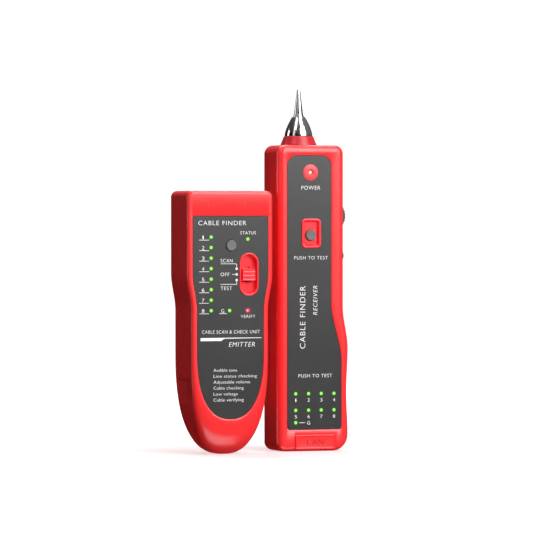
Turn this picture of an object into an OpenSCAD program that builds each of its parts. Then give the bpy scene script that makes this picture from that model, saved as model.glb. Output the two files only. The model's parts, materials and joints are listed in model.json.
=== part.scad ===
// Two-piece cable and circuit finder: an emitter that puts a tone on a line, and a receiver whose metal
// probe picks it up. X runs to the right, +Y to the back, +Z up. The two cases stand side by side with their
// faces towards -Y, and the origin is the middle of the pair's box at the height of the surface.

/* [Emitter case] */
// Height of the emitter
emitter_h = 154.2; // [135:0.2:190]
// Width across its head, where the sockets are
emitter_w = 52.8; // [46:0.2:64]
// Width of its grip
emitter_grip_w = 47.4; // [42:0.2:56]
// Depth, front face to back face
emitter_d = 32; // [30:0.5:40]
// How far below the top the head starts to narrow
shoulder_drop = 48.2; // [44:0.2:56]
// How far below the top the grip's full width starts
grip_drop = 70.2; // [66:0.2:78]
// Height of the rounded tail
tail_h = 60; // [50:1:70]
// How high the flat face starts above the tail's tip
face_low_z = 19.5; // [12:0.5:24]
// Depth over which the tail's tip rounds off
tail_round = 13; // [8:0.5:14]
// Rounding of the case's edges
emitter_edge_r = 1.8; // [1.2:0.1:2.6]
// Radius of the head's corners
emitter_corner_r = 3.6; // [3:0.1:6]

/* [Receiver case] */
// Height of the receiver's case, without its probe
receiver_h = 181.5; // [160:0.5:220]
// Width of its upper half
receiver_w = 42; // [40:0.5:52]
// How far the right side swells out over the palm
palm_swell = 3.1; // [0:0.1:5]
// Height where the swell begins
palm_top_z = 86; // [76:1:96]
// Height of its widest place
palm_z = 61; // [50:1:70]
// Hollow below the widest place
palm_dip = 0.9; // [0:0.1:2]
// Depth, front face to back face
receiver_d = 27.5; // [27:0.5:36]
// Rounding of the case's edges
receiver_edge_r = 3.8; // [2:0.1:4.4]
// Radius of the upper and the lower left corners
receiver_corner_r = 5.2; // [4.8:0.1:8]
// Radius of the lower right corner
palm_corner_r = 9.5; // [6:0.5:12]

/* [Walls and fits] */
// Wall of both cases
wall = 2.2; // [1.8:0.1:2.6]
// Gap round parts that move through a hole
slide_gap = 0.3; // [0.15:0.05:0.4]
// Radial gap of a pivot in its hole
pivot_gap = 0.08; // [0.05:0.01:0.1]
// Gap beside parts that drop into a seat
seat_gap = 0.1; // [0.05:0.05:0.3]
// Thickness of the printed face label
label_t = 0.5; // [0.3:0.1:0.8]
// Width of the case's lip round the label
label_lip = 1.3; // [0.8:0.1:2]

/* [Battery] */
// Width of the nine volt battery
battery_w = 26.5; // [26.5:0.1:26.5]
// Thickness of the battery
battery_t = 17.5; // [17.5:0.1:17.5]
// Height of the battery's can
battery_h = 46.4; // [46.4:0.1:46.4]
// Free space beside the battery
battery_gap = 0.8; // [0.4:0.1:1.2]
// Height of the battery bay
bay_h = 57; // [55:0.5:60]
// Thickness of a battery door
door_t = 2; // [1.8:0.1:2.4]
// Height of the emitter's battery bay above the surface
emitter_bay_z = 33; // [31:0.5:38]
// Height of the receiver's battery bay above the surface
receiver_bay_z = 25; // [24:0.5:32]

/* [Controls] */
// Diameter of both push buttons
button_d = 6.4; // [5:0.1:8]
// Travel of both push buttons
button_travel = 0.6; // [0.4:0.1:0.8]
// Distance between the mode switch's positions
mode_step = 3.3; // [2.5:0.1:4]
// Width of the mode switch's well
well_w = 11.9; // [11:0.1:14]
// Height of the mode switch's well
well_h = 25.2; // [23:0.1:30]
// Radius of the volume wheel
wheel_r = 9.5; // [8:0.1:10.5]
// Thickness of the volume wheel
wheel_t = 3; // [2.4:0.1:3.2]
// How far the wheel stands out of the case's side
wheel_proud = 4.5; // [3:0.1:5]
// Diameter of the indicator lamps
lamp_d = 2.4; // [2:0.1:3]

/* [Probe] */
// Length of the metal tip above its collar
tip_h = 28; // [22:0.5:34]
// Length of the needle at the end of the tip
needle_h = 16.8; // [12:0.2:20]
// Diameter of the needle at its root
needle_d = 5.4; // [4:0.1:6.4]
// Diameter of the tip where it leaves the collar
tip_d = 16.6; // [14:0.1:18]
// Height of the collar above the case
collar_h = 5.5; // [4:0.1:8]
// Diameter of the collar's foot
collar_d = 21.4; // [19:0.1:23]
// Place of the probe, left of the upper case's middle
probe_left = 2.8; // [0:0.1:4]
// Place of the probe, behind the case's middle
probe_back = 1; // [0:0.1:1.5]

/* [Pair] */
// Distance between the middles of the two cases, across
pair_x = 58; // [56:1:80]
// How far the receiver stands behind the emitter
pair_y = 18; // [10:1:30]

/* [Hidden] */
$fn = 48;
bite = 0.01; // how far a cutter passes a surface that it has to break

// Depths, from the front face of each case inwards
board_t = 1.6;
emitter_board_depth = 7; // front face to the board
receiver_board_depth = 5.35;
emitter_front = -emitter_d / 2;
emitter_back = emitter_d / 2;
receiver_front = -receiver_d / 2;
receiver_back = receiver_d / 2;
part_y = 1; // where the two halves of a case meet
emitter_board_y = emitter_front + emitter_board_depth;
emitter_board_back = emitter_board_y + board_t;
receiver_board_y = receiver_front + receiver_board_depth;
receiver_board_back = receiver_board_y + board_t;
label_depth = label_t + seat_gap; // depth of the label's seat

// Emitter face, heights counted down from the top
shoulder_z = emitter_h - shoulder_drop;
grip_z = emitter_h - grip_drop;
label_drop = 14.6;
channel_x = -11.9;
channel_drop = 27;
channel_pitch = 6.13;
channels = 8;
ground_x = -0.5;
status_x = 10.8;
status_drop = 28.2;
verify_drop = channel_drop + (channels - 1) * channel_pitch;
tone_x = 0.5;
tone_drop = 31.9;
mode_x = 11.4;
mode_drop = 48.8;
well_depth = 3.2;
rim_w = 1;
rim_proud = 0.4;
knob_w = 7.7;
knob_h = 7.5;
knob_proud = 0.3;

// Receiver face, lower lamps and the pad over the socket counted from the bottom, the rest from the top
receiver_label_left = 15.4; // left of the upper case's middle
receiver_label_right = 12.6;
receiver_label_top_r = 6.5;
receiver_label_drop = 6;
receiver_label_low = 12.8;
label_swell = 6.4;
power_x = -0.6;
power_drop = 16.3;
bezel_r = 5;
bezel_proud = 1;
test_x = -0.2;
test_drop = 53.4;
frame_w = 12.1;
frame_h = 17.4;
frame_z_up = 1.1; // middle of the frame above the button's
frame_depth = 1.2;
frame_proud = 0.6;
grid_x = [-9.9, -1.8, 6.2, 14.3];
grid_z = [34.2, 24.4];
ground_z = 17.1;
pad_x = 2.4;
pad_w = 25.3;
pad_h = 9.9;
pad_rise = 0.5;

// Sockets
jack_wall = 1.4;
network_w = 11.8; // the plug's hole, across
network_h = 8;
network_l = 13;
phone_w = 9.8;
phone_h = 6.8;
phone_l = 12;
jack_l = 16;
jack_inset = 0.4; // mouth of a socket behind the case's skin
latch_h = 2.2;
wire_pitch = 1.02;
wire_r = 0.23;
phone_side_gap = 1.6; // phone socket to the case's side wall
socket_gap = 6.2; // between the two sockets

// Volume wheel and earphone socket, counted down from the receiver's top
wheel_drop = 42;
wheel_y = receiver_board_back + 3.3; // front of the wheel
axle_r = 1.6;
axle_lip = 0.8;
// The axle stays clear of the case wall, so a small wheel stands out less
wheel_x = min(receiver_w / 2 + wheel_proud - wheel_r, receiver_w / 2 - wall - axle_r - axle_lip - 0.2);
wheel_z = receiver_h - wheel_drop;
earphone_drop = 65.5;
earphone_z = receiver_h - earphone_drop;
earphone_bore_r = 1.8;
earphone_collar_r = 2.5;
earphone_proud = 2.2;
earphone_l = 14;
earphone_body_t = 6;
earphone_y = receiver_board_back + earphone_body_t / 2;

// Probe
probe_x = -probe_left;
probe_y = probe_back;
shank_r = 3;
shank_h = 11;
nut_r = 5.5;
nut_h = 3;
collar_seat_h = 1.2;

// Screws
boss_r = 2.8;
screw_r = 1.1;
screw_gap = 0.03;
head_r = 2.4;
head_h = 1.6;
head_seat = 3; // back face to the underside of a screw's head
board_screw_r = 0.9;
board_screw_l = 2.5;
board_post_r = 2.2;
emitter_screws = [[-19.2, emitter_h - 30], [19.2, emitter_h - 30], [0, 23.6]];
emitter_board_screws_at = [[-19, emitter_h - 21.5], [17.5, emitter_h - 10], [0, 52]];
receiver_board_screws_at = [[-15, receiver_h - 31], [-15, 92], [14.5, 96]];
receiver_screws = [
    [-receiver_w / 2 + wall + boss_r + 0.4, receiver_h - 15],
    [receiver_w / 2 - wall - boss_r - 0.4, receiver_h - 15],
    [-receiver_w / 2 + wall + boss_r + 0.4, 10],
    [receiver_w / 2 - wall - boss_r, 13],
];

button_proud = 0.9;

// Place of each case in the pair, which puts the pair's box over the origin
box_left = -pair_x / 2 - emitter_w / 2;
box_right = pair_x / 2 + max(receiver_w / 2 + palm_swell, receiver_w / 2 + wheel_proud);
box_front = -pair_y / 2 + min(emitter_front - button_proud, pair_y + receiver_front - bezel_proud);
box_back = max(-pair_y / 2 + emitter_back, pair_y / 2 + receiver_back);
emitter_at = [-pair_x / 2 - (box_left + box_right) / 2, -pair_y / 2 - (box_front + box_back) / 2, 0];
receiver_at = emitter_at + [pair_x, pair_y, 0];

// ---------- Outlines, as points [x, z] that run anticlockwise seen from the front ----------

function clamp(t) = min(1, max(0, t));
function smooth(t) = let(c = clamp(t)) c * c * (3 - 2 * c);
function ease(t) = (clamp(t) + smooth(t)) / 2;
function arc(x, z, r, from, to, steps) =
    [for (i = [0:steps]) let(a = from + (to - from) * i / steps) [x + r * cos(a), z + r * sin(a)]];
function mirrored(points) = [for (i = [len(points) - 1:-1:0]) [-points[i][0], points[i][1]]];
function drop_last(points) = [for (i = [0:len(points) - 2]) points[i]];
function normal(p, q) = let(d = q - p) [-d[1], d[0]] / norm(d);
// Moves each point inwards by its own distance, keeping straight sides straight.
function inset(points, by) = let(n = len(points)) [for (i = [0:n - 1])
    let(a = normal(points[(i + n - 1) % n], points[i]), b = normal(points[i], points[(i + 1) % n]))
    points[i] + (a + b) * ((is_list(by) ? by[i] : by) / (1 + a * b))];

// Emitter: half width of the head and grip at a height, and the tail as a rounded oval.
tail_steps = 12;
tail_power = 0.76;
face_power = 0.85;
function grip_half(z) =
    emitter_grip_w / 2 + (emitter_w - emitter_grip_w) / 2 * smooth((z - grip_z) / (shoulder_z - grip_z));
function tail_angles() = [for (i = [0:tail_steps]) 90 - 90 * i / tail_steps];
shoulder_zs = [for (i = [0:6]) grip_z + (shoulder_z - grip_z) * i / 6];
// One side of the case, from the tail's tip up, at an inset from the widest outline
function emitter_half(in, low, power) = concat(
    [for (a = tail_angles()) [
        (emitter_grip_w / 2 - in) * pow(cos(a), power),
        tail_h - (tail_h - low) * pow(sin(a), power)
    ]],
    [for (z = shoulder_zs) [grip_half(z) - in, z]],
    arc(emitter_w / 2 - emitter_corner_r, emitter_h - emitter_corner_r,
        emitter_corner_r - in, 0, 90, 4)
);
function emitter_ring(in, low, power) = let(half = emitter_half(in, low, power))
    concat(half, drop_last(mirrored(half)));
emitter_outline = emitter_ring(0, 0, tail_power);
emitter_face = emitter_ring(emitter_edge_r, face_low_z, face_power);
emitter_inner = emitter_ring(wall, wall, tail_power);
emitter_inner_face = emitter_ring(wall + emitter_edge_r / 2, face_low_z + wall / 2, face_power);
// Depth of the edge's rounding, which grows towards the tail's tip
emitter_round_half = concat(
    [for (a = tail_angles()) emitter_edge_r + (tail_round - emitter_edge_r) * pow(sin(a), 2)],
    [for (z = shoulder_zs) emitter_edge_r],
    [for (i = [0:4]) emitter_edge_r]
);
emitter_round = concat(emitter_round_half,
    [for (i = [len(emitter_round_half) - 1:-1:1]) emitter_round_half[i]]);

// Label of the emitter: the face's outline less the lip, cut off square below the head.
label_in = emitter_edge_r + label_lip;
function emitter_label(in) = let(
    half = concat(
        [for (a = tail_angles()) [
            (emitter_grip_w / 2 - label_in - in) * pow(cos(a), face_power),
            tail_h - (tail_h - face_low_z - label_lip - in) * pow(sin(a), face_power)
        ]],
        [for (z = shoulder_zs) [grip_half(z) - label_in - in, z]],
        [[emitter_w / 2 - label_in - in, emitter_h - label_drop - in]]
    )) concat(half, drop_last(mirrored(half)));

// Receiver: straight on the left, swelling over the palm on the right.
function palm_right(z) = receiver_w / 2
    + palm_swell * smooth((palm_top_z - z) / (palm_top_z - palm_z))
    - palm_dip * pow(sin(180 * clamp((z - palm_corner_r) / (palm_z - palm_corner_r))), 2);
palm_steps = 14;
receiver_outline = concat(
    arc(-receiver_w / 2 + receiver_corner_r, receiver_corner_r, receiver_corner_r, 180, 270, 5),
    arc(palm_right(palm_corner_r) - palm_corner_r, palm_corner_r, palm_corner_r, 270, 360, 7),
    [for (i = [1:palm_steps]) let(z = palm_corner_r + (palm_top_z - palm_corner_r) * i / palm_steps)
        [palm_right(z), z]],
    arc(receiver_w / 2 - receiver_corner_r, receiver_h - receiver_corner_r, receiver_corner_r, 0, 90, 5),
    arc(-receiver_w / 2 + receiver_corner_r, receiver_h - receiver_corner_r, receiver_corner_r, 90, 180, 5)
);
receiver_face = inset(receiver_outline, receiver_edge_r);
receiver_inner = inset(receiver_outline, wall);
receiver_inner_face = inset(receiver_outline, wall + receiver_edge_r / 2);
receiver_round = [for (p = receiver_outline) receiver_edge_r];

receiver_label_right_at = receiver_label_right;
label_corner_r = 2;
label_steps = 8;
function receiver_label(in) = let(
    left = -receiver_label_left + in,
    right = receiver_label_right_at - in,
    low = receiver_label_low + in,
    top = receiver_h - receiver_label_drop - in,
    wide = right + label_swell,
    top_r = receiver_label_top_r - in,
    low_r = label_corner_r - in
) concat(
    arc(left + low_r, low + low_r, low_r, 180, 270, 3),
    arc(wide - low_r, low + low_r, low_r, 270, 360, 3),
    [for (i = [0:label_steps])
        let(z = palm_z - 5 + (palm_top_z - palm_z + 5) * i / label_steps)
        [right + label_swell * ease((palm_top_z - z) / (palm_top_z - palm_z + 5)), z]],
    arc(right - top_r, top - top_r, top_r, 0, 90, 5),
    arc(left + top_r, top - top_r, top_r, 90, 180, 5)
);

// ---------- Shells ----------

function at_depth(points, y) = [for (p = points) [p[0], y, p[1]]];
// One ring of an edge's rounding, from the side of the case (0 degrees) to its face (90)
function edge_ring(side, face, round, y_face, into, a) = [for (i = [0:len(side) - 1])
    let(p = side[i] + (face[i] - side[i]) * (1 - cos(a)))
    [p[0], y_face + into * round[i] * (1 - sin(a)), p[1]]];
outer_angles = [90, 67.5, 45, 22.5, 0];
inner_angles = [0, 30, 60, 90];

// Half of a hollow case: the outer skin from its face to the joint, the rim, and the inner skin back again.
module half_case(side, face, inner, inner_face, round, y_face, into) {
    rings = concat(
        [for (a = outer_angles) edge_ring(side, face, round, y_face, into, a)],
        [at_depth(side, part_y), at_depth(inner, part_y)],
        [for (a = inner_angles) edge_ring(inner, inner_face, round, y_face + into * wall, into, a)]
    );
    n = len(side);
    last = len(rings) - 1;
    faces = concat(
        [[for (i = [n - 1:-1:0]) i]],
        [for (r = [0:last - 1]) for (i = [0:n - 1])
            for (f = [[r * n + i, r * n + (i + 1) % n, (r + 1) * n + (i + 1) % n],
                      [r * n + i, (r + 1) * n + (i + 1) % n, (r + 1) * n + i]]) f],
        [[for (i = [0:n - 1]) last * n + i]]
    );
    turned = into > 0 ? faces : [for (f = faces) [for (i = [len(f) - 1:-1:0]) f[i]]];
    polyhedron([for (r = rings) for (p = r) p], turned, convexity = 8);
}

// ---------- Shared shapes ----------

// A flat outline [x, z] made into a slab between two depths
module slab(points, y0, y1) {
    translate([0, y1, 0]) rotate([90, 0, 0]) linear_extrude(y1 - y0) polygon(points);
}

module block(x0, x1, y0, y1, z0, z1) {
    translate([x0, y0, z0]) cube([x1 - x0, y1 - y0, z1 - z0]);
}

// A round bar along Y, and one along X
module bar_y(x, z, r, y0, y1, r_end = -1) {
    translate([x, y0, z]) rotate([-90, 0, 0]) cylinder(r1 = r, r2 = r_end < 0 ? r : r_end, h = y1 - y0);
}

module bar_x(y, z, r, x0, x1) {
    translate([x0, y, z]) rotate([0, 90, 0]) cylinder(r = r, h = x1 - x0);
}

// A slot with round ends, standing along Z
module stadium(x, z, w, h, y0, y1) {
    for (s = [-1, 1]) bar_y(x, z + s * (h - w) / 2, w / 2, y0, y1);
    block(x - w / 2, x + w / 2, y0, y1, z - (h - w) / 2, z + (h - w) / 2);
}

// A block with its four long edges rounded, standing along Y
module round_block(x, z, w, h, r, y0, y1) {
    for (sx = [-1, 1], sz = [-1, 1]) bar_y(x + sx * (w / 2 - r), z + sz * (h / 2 - r), r, y0, y1);
    block(x - w / 2 + r, x + w / 2 - r, y0, y1, z - h / 2, z + h / 2);
    block(x - w / 2, x + w / 2, y0, y1, z - h / 2 + r, z + h / 2 - r);
}

// Insulated wire through a list of points, as one swept tube
wire_sides = 8;
function unit(v) = v / norm(v);
function heading(path, i) = unit(path[min(i + 1, len(path) - 1)] - path[max(i - 1, 0)]);
module wire(path, r) {
    rings = [for (i = [0:len(path) - 1]) let(
        t = heading(path, i),
        u = unit(cross(t, abs(t[0]) < 0.9 ? [1, 0, 0] : [0, 1, 0])),
        v = cross(t, u)
    ) for (k = [0:wire_sides - 1]) let(a = 360 * k / wire_sides) path[i] + r * (cos(a) * u + sin(a) * v)];
    last = len(path) - 1;
    faces = concat(
        [[for (k = [0:wire_sides - 1]) k]],
        [for (i = [0:last - 1]) for (k = [0:wire_sides - 1]) let(m = (k + 1) % wire_sides)
            for (f = [[i * wire_sides + k, (i + 1) * wire_sides + k, (i + 1) * wire_sides + m],
                      [i * wire_sides + k, (i + 1) * wire_sides + m, i * wire_sides + m]]) f],
        [[for (k = [wire_sides - 1:-1:0]) last * wire_sides + k]]
    );
    polyhedron(rings, faces, convexity = 4);
}

// Points along a smooth curve through hand-placed ones
function spline_point(a, b, c, d, t) =
    0.5 * (2 * b + (c - a) * t + (2 * a - 5 * b + 4 * c - d) * t * t + (3 * b - a - 3 * c + d) * t * t * t);
function curve(points, steps) = let(n = len(points)) concat(
    [for (i = [0:n - 2]) for (k = [0:steps - 1]) spline_point(
        points[max(i - 1, 0)], points[i], points[i + 1], points[min(i + 2, n - 1)], k / steps)],
    [points[n - 1]]);

// Lamp: a round body with a domed end, from the board to just proud of the face
module lamp(x, z, r, y_board, y_tip) {
    flange = 0.35;
    flange_h = 1;
    bar_y(x, z, r + flange, y_board - flange_h, y_board);
    bar_y(x, z, r, y_tip + r, y_board - flange_h + bite);
    translate([x, y_tip + r, z]) rotate([90, 0, 0]) rotate_extrude() intersection() {
        circle(r = r);
        translate([0, -bite]) square([r, r + bite]);
    }
}

// Modular socket with its mouth at z_mouth; into = -1 opens upwards, 1 opens downwards. It stands on the
// back of the board at y_board. The latch slot faces away from the board.
module socket(x, w, h, l, y_board, z_mouth, into) {
    body_h = h + latch_h + 2 * jack_wall;
    z_back = z_mouth + into * jack_l;
    difference() {
        block(x - w / 2 - jack_wall, x + w / 2 + jack_wall, y_board, y_board + body_h,
            min(z_mouth, z_back), max(z_mouth, z_back));
        z0 = z_mouth - into * bite;
        z1 = z_mouth + into * l;
        block(x - w / 2, x + w / 2, y_board + jack_wall, y_board + jack_wall + h, min(z0, z1), max(z0, z1));
        block(x - w / 4, x + w / 4, y_board + jack_wall + h - bite, y_board + jack_wall + h + latch_h,
            min(z0, z1), max(z0, z1));
    }
}

// The sprung wires inside a socket, which slope away from the board's side
module socket_wires(x, count, h, l, y_board, z_mouth, into) {
    y_root = y_board + jack_wall + wire_r;
    slope_y = h * 0.25;
    z_free = z_mouth + into * 3;
    z_root = z_mouth + into * (l + 0.5);
    for (i = [0:count - 1]) let(wx = x + (i - (count - 1) / 2) * wire_pitch)
        wire([[wx, y_root, z_free], [wx, y_root + slope_y, z_free + into * 5],
              [wx, y_root + slope_y, z_root]], wire_r);
}

bay_w = battery_w + 2 * battery_gap;
bay_wall = 1.6;
door_w = bay_w - 2 * slide_gap;
pivot_r = 0.8;
pivot_l = 1.1;
door_h = bay_h - slide_gap;
lip_h = 1.2;

// Walls of a battery bay, from the back cover's wall to the joint between the covers, with holes for the
// door's pivots and a notch for the leads
module bay_walls(x, z, y_back) {
    difference() {
        block(x - bay_w / 2 - bay_wall, x + bay_w / 2 + bay_wall, part_y, y_back - wall + bite,
            z - bay_wall, z + bay_h + bay_wall);
        bay_opening(x, z, y_back);
        block(x + bay_w / 4, x + bay_w / 2, part_y - bite, part_y + 4,
            z + bay_h - bite, z + bay_h + bay_wall + bite);
    }
}

module bay_opening(x, z, y_back) {
    block(x - bay_w / 2, x + bay_w / 2, part_y - bite, y_back + bite, z, z + bay_h);
    bar_x(y_back - door_t, z + door_t + slide_gap, pivot_r + pivot_gap,
        x - bay_w / 2 - pivot_l - seat_gap, x + bay_w / 2 + pivot_l + seat_gap);
}

// Ledge the battery stands on, in front of the door's hinge
module bay_ledge(x, z, y_back) {
    block(x - bay_w / 2 - bite, x + bay_w / 2 + bite, part_y, y_back - 2 * door_t - 0.6,
        z - bite, z + door_t * 2 + battery_foot);
}

// Thumb scoop in the back cover above the door
module thumb_scoop(x, z, y_back) {
    translate([x, y_back + 5, z + bay_h + 1]) sphere(r = 6.2);
}

// Door, hinged on two pivots at its foot, with grip ridges near its top
module battery_door(x, z, y_back) {
    axis_z = z + door_t + slide_gap;
    axis_y = y_back - door_t;
    difference() {
        union() {
            block(x - door_w / 2, x + door_w / 2, axis_y, y_back, axis_z, z + door_h);
            bar_x(axis_y, axis_z, door_t - 0.1, x - door_w / 2, x + door_w / 2);
            bar_x(axis_y, axis_z, pivot_r,
                x - door_w / 2 - slide_gap - pivot_l, x + door_w / 2 + slide_gap + pivot_l);
        }
        for (i = [0:4])
            block(x - 7, x + 7, y_back - 0.4, y_back + bite, z + door_h - 6 - i * 2, z + door_h - 5 - i * 2);
    }
}

// Nine volt battery: can, two snap studs of which one is a hexagon, standing on the bay's floor
stud_h = 2.1;
battery_foot = 1.2; // bay floor to the can
function battery_y(y_back) = y_back - door_t - 0.4 - battery_t / 2;
module battery(x, z, y_back) {
    y = battery_y(y_back);
    z0 = z + door_t * 2 + battery_foot;
    r = 2;
    translate([x, y, z0]) linear_extrude(battery_h) {
        for (sx = [-1, 1], sy = [-1, 1])
            translate([sx * (battery_w / 2 - r), sy * (battery_t / 2 - r)]) circle(r = r);
        square([battery_w - 2 * r, battery_t], center = true);
        square([battery_w, battery_t - 2 * r], center = true);
    }
    translate([x - 6.35, y, z0 + battery_h - bite]) cylinder(r = 2.8, h = stud_h);
    translate([x + 6.35, y, z0 + battery_h - bite]) cylinder(r = 3.6, h = stud_h, $fn = 6);
}

snap_t = 1.6;
module battery_snap(x, z, y_back) {
    y = battery_y(y_back);
    z0 = z + door_t * 2 + battery_foot + battery_h + stud_h - bite;
    difference() {
        translate([x, y, 0]) block(-12.5, 12.5, -6, 6, z0, z0 + snap_t);
        for (s = [-1, 1]) translate([x + s * 12.5, y, z0 - 1]) cylinder(r = 1.2, h = 4);
    }
}

// Self-tapping screw from the back face
module case_screw(x, z, y_back, length) {
    y_seat = y_back - head_seat;
    difference() {
        union() {
            bar_y(x, z, head_r - 0.1, y_seat + bite, y_seat + head_h);
            bar_y(x, z, screw_r - screw_gap, y_seat - length, y_seat + 2 * bite);
        }
        for (turn = [0, 90]) translate([x, y_seat + head_h, z]) rotate([0, turn, 0])
            cube([2.6, 1.6, 0.6], center = true);
    }
}

// Boss of the back cover, which takes the screw's head from behind
module rear_boss(x, z, y_back) {
    difference() {
        bar_y(x, z, boss_r + 0.6, part_y, y_back - wall + bite);
        rear_boss_bore(x, z, y_back);
    }
}

module rear_boss_bore(x, z, y_back) {
    bar_y(x, z, screw_r + 0.2, part_y - bite, y_back);
    bar_y(x, z, head_r + 0.2, y_back - head_seat, y_back + bite);
}

// Post of the front cover, which the screw cuts its thread in
module front_post(x, z, y_front) {
    difference() {
        bar_y(x, z, boss_r, y_front + wall - bite, part_y);
        bar_y(x, z, screw_r, part_y - 9, part_y + bite);
    }
}

// Small parts on a board: cross-headed screws and black chips
module board_screw(x, z, y_board) {
    difference() {
        union() {
            bar_y(x, z, 2, y_board + board_t, y_board + board_t + 1.2);
            bar_y(x, z, board_screw_r, y_board - board_screw_l, y_board + board_t + bite);
        }
        for (turn = [0, 90]) translate([x, y_board + board_t + 1.2, z]) rotate([0, turn, 0])
            cube([2.2, 1, 0.5], center = true);
    }
}

// Square push switch under a button, on the front of a board
switch_w = 6;
plunger_r = 1.6;
emitter_switch_h = 2.2;
receiver_switch_h = 1.25;
module push_switch(x, z, y_board, h) {
    block(x - switch_w / 2, x + switch_w / 2, y_board - h + 0.3, y_board, z - switch_w / 2, z + switch_w / 2);
    bar_y(x, z, plunger_r, y_board - h, y_board - h + 0.3 + bite);
}

// Button: a cap through the face, a flange behind it, and a stem over the switch
flange_w = 1;
flange_t = 0.7;
module push_button(x, z, y_tip, y_under, y_board, h) {
    bar_y(x, z, button_d / 2 - 0.4, y_tip, y_tip + 0.4 + bite, button_d / 2);
    bar_y(x, z, button_d / 2, y_tip + 0.4, y_under + slide_gap + bite);
    bar_y(x, z, button_d / 2 + flange_w, y_under + slide_gap, y_under + slide_gap + flange_t);
    stem_y = y_board - h - button_travel - slide_gap;
    if (stem_y > y_under + slide_gap + flange_t + bite)
        bar_y(x, z, plunger_r, y_under + slide_gap + flange_t - bite, stem_y);
}

// ---------- Places worked out from the sizes ----------

mode_z = emitter_h - mode_drop;
tone_z = emitter_h - tone_drop;
well_back = emitter_front + well_depth;
well_floor = 1.2;
knob_back = well_back - slide_gap;
lever_r = 1.2;
lever_seat = 1.5;
mode_switch_y = well_back + well_floor + 0.2; // front of the switch's can
lever_tip = mode_switch_y + 0.9;
phone_x = -emitter_w / 2 + wall + phone_side_gap + phone_w / 2 + jack_wall;
network_x = phone_x + phone_w / 2 + 2 * jack_wall + socket_gap + network_w / 2;
emitter_mouth = emitter_h - jack_inset;
emitter_under = emitter_front + wall; // underside of the face's wall
receiver_under = receiver_front + wall;
test_z = receiver_h - test_drop;
frame_z = test_z + frame_z_up;
power_z = receiver_h - power_drop;
emitter_lamps = [for (i = [0:channels - 1]) [channel_x, emitter_h - channel_drop - i * channel_pitch]];
receiver_lamps = [for (z = grid_z) for (x = grid_x) [x, z]];
speaker_r = 14;
speaker_t = 4.6;
speaker_z = receiver_bay_z + bay_h + 18;
speaker_ring = 1.2;
magnet_r = 7;
magnet_t = 3.4;

module socket_seat(x, w, h, y_board, z_mouth, into) {
    body_h = h + latch_h + 2 * jack_wall;
    block(x - w / 2 - jack_wall - seat_gap, x + w / 2 + jack_wall + seat_gap,
        y_board - seat_gap, y_board + body_h + seat_gap,
        min(z_mouth - into * 5, z_mouth + into * 6), max(z_mouth - into * 5, z_mouth + into * 6));
}

module board_post(x, z, y_under, y_board) {
    difference() {
        bar_y(x, z, board_post_r, y_under - bite, y_board);
        bar_y(x, z, board_screw_r, y_board - board_screw_l - 0.1, y_board + bite);
    }
}

// ---------- Emitter ----------

module emitter_openings() {
    socket_seat(network_x, network_w, network_h, emitter_board_back, emitter_mouth, -1);
    socket_seat(phone_x, phone_w, phone_h, emitter_board_back, emitter_mouth, -1);
}

module emitter_face_holes(gap, y0, y1) {
    for (p = emitter_lamps) bar_y(p[0], p[1], lamp_d / 2 + gap, y0, y1);
    bar_y(ground_x, emitter_h - verify_drop, lamp_d / 2 + gap, y0, y1);
    bar_y(status_x, emitter_h - status_drop, lamp_d / 2 + gap, y0, y1);
    bar_y(status_x, emitter_h - verify_drop, lamp_d / 2 + gap, y0, y1);
    bar_y(tone_x, tone_z, button_d / 2 + slide_gap, y0, y1);
}

module emitter_front_cover() color([0.78, 0.07, 0.1]) translate(emitter_at) difference() {
    union() {
        difference() {
            half_case(emitter_outline, emitter_face, emitter_inner, emitter_inner_face,
                emitter_round, emitter_front, 1);
            slab(emitter_label(0), emitter_front - bite, emitter_front + label_depth);
        }
        stadium(mode_x, mode_z, well_w, well_h, emitter_front - rim_proud, well_back + well_floor);
        for (p = emitter_screws) front_post(p[0], p[1], emitter_front);
        for (p = emitter_board_screws_at) board_post(p[0], p[1], emitter_under, emitter_board_y);
    }
    stadium(mode_x, mode_z, well_w - 2 * rim_w, well_h - 2 * rim_w,
        emitter_front - rim_proud - bite, well_back);
    block(mode_x - lever_r - slide_gap, mode_x + lever_r + slide_gap, well_back - bite,
        well_back + well_floor + bite, mode_z - mode_step - lever_r - slide_gap,
        mode_z + mode_step + lever_r + slide_gap);
    emitter_face_holes(seat_gap, emitter_front - bite, emitter_under + bite);
    emitter_openings();
}

module emitter_rear_cover() color([0.72, 0.06, 0.09]) translate(emitter_at) difference() {
    union() {
        half_case(emitter_outline, emitter_face, emitter_inner, emitter_inner_face,
            emitter_round, emitter_back, -1);
        bay_walls(0, emitter_bay_z, emitter_back);
        for (p = emitter_screws) rear_boss(p[0], p[1], emitter_back);
    }
    difference() {
        bay_opening(0, emitter_bay_z, emitter_back);
        bay_ledge(0, emitter_bay_z, emitter_back);
    }
    thumb_scoop(0, emitter_bay_z, emitter_back);
    for (p = emitter_screws) rear_boss_bore(p[0], p[1], emitter_back);
    emitter_openings();
}

module emitter_face_label() color([0.3, 0.3, 0.29]) translate(emitter_at) difference() {
    slab(emitter_label(seat_gap), emitter_front + seat_gap, emitter_front + label_depth);
    emitter_face_holes(seat_gap, emitter_front, emitter_front + 1);
    stadium(mode_x, mode_z, well_w + 2 * seat_gap, well_h + 2 * seat_gap, emitter_front, emitter_front + 1);
}

module emitter_battery_door() color([0.72, 0.06, 0.09]) translate(emitter_at)
    battery_door(0, emitter_bay_z, emitter_back);

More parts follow.
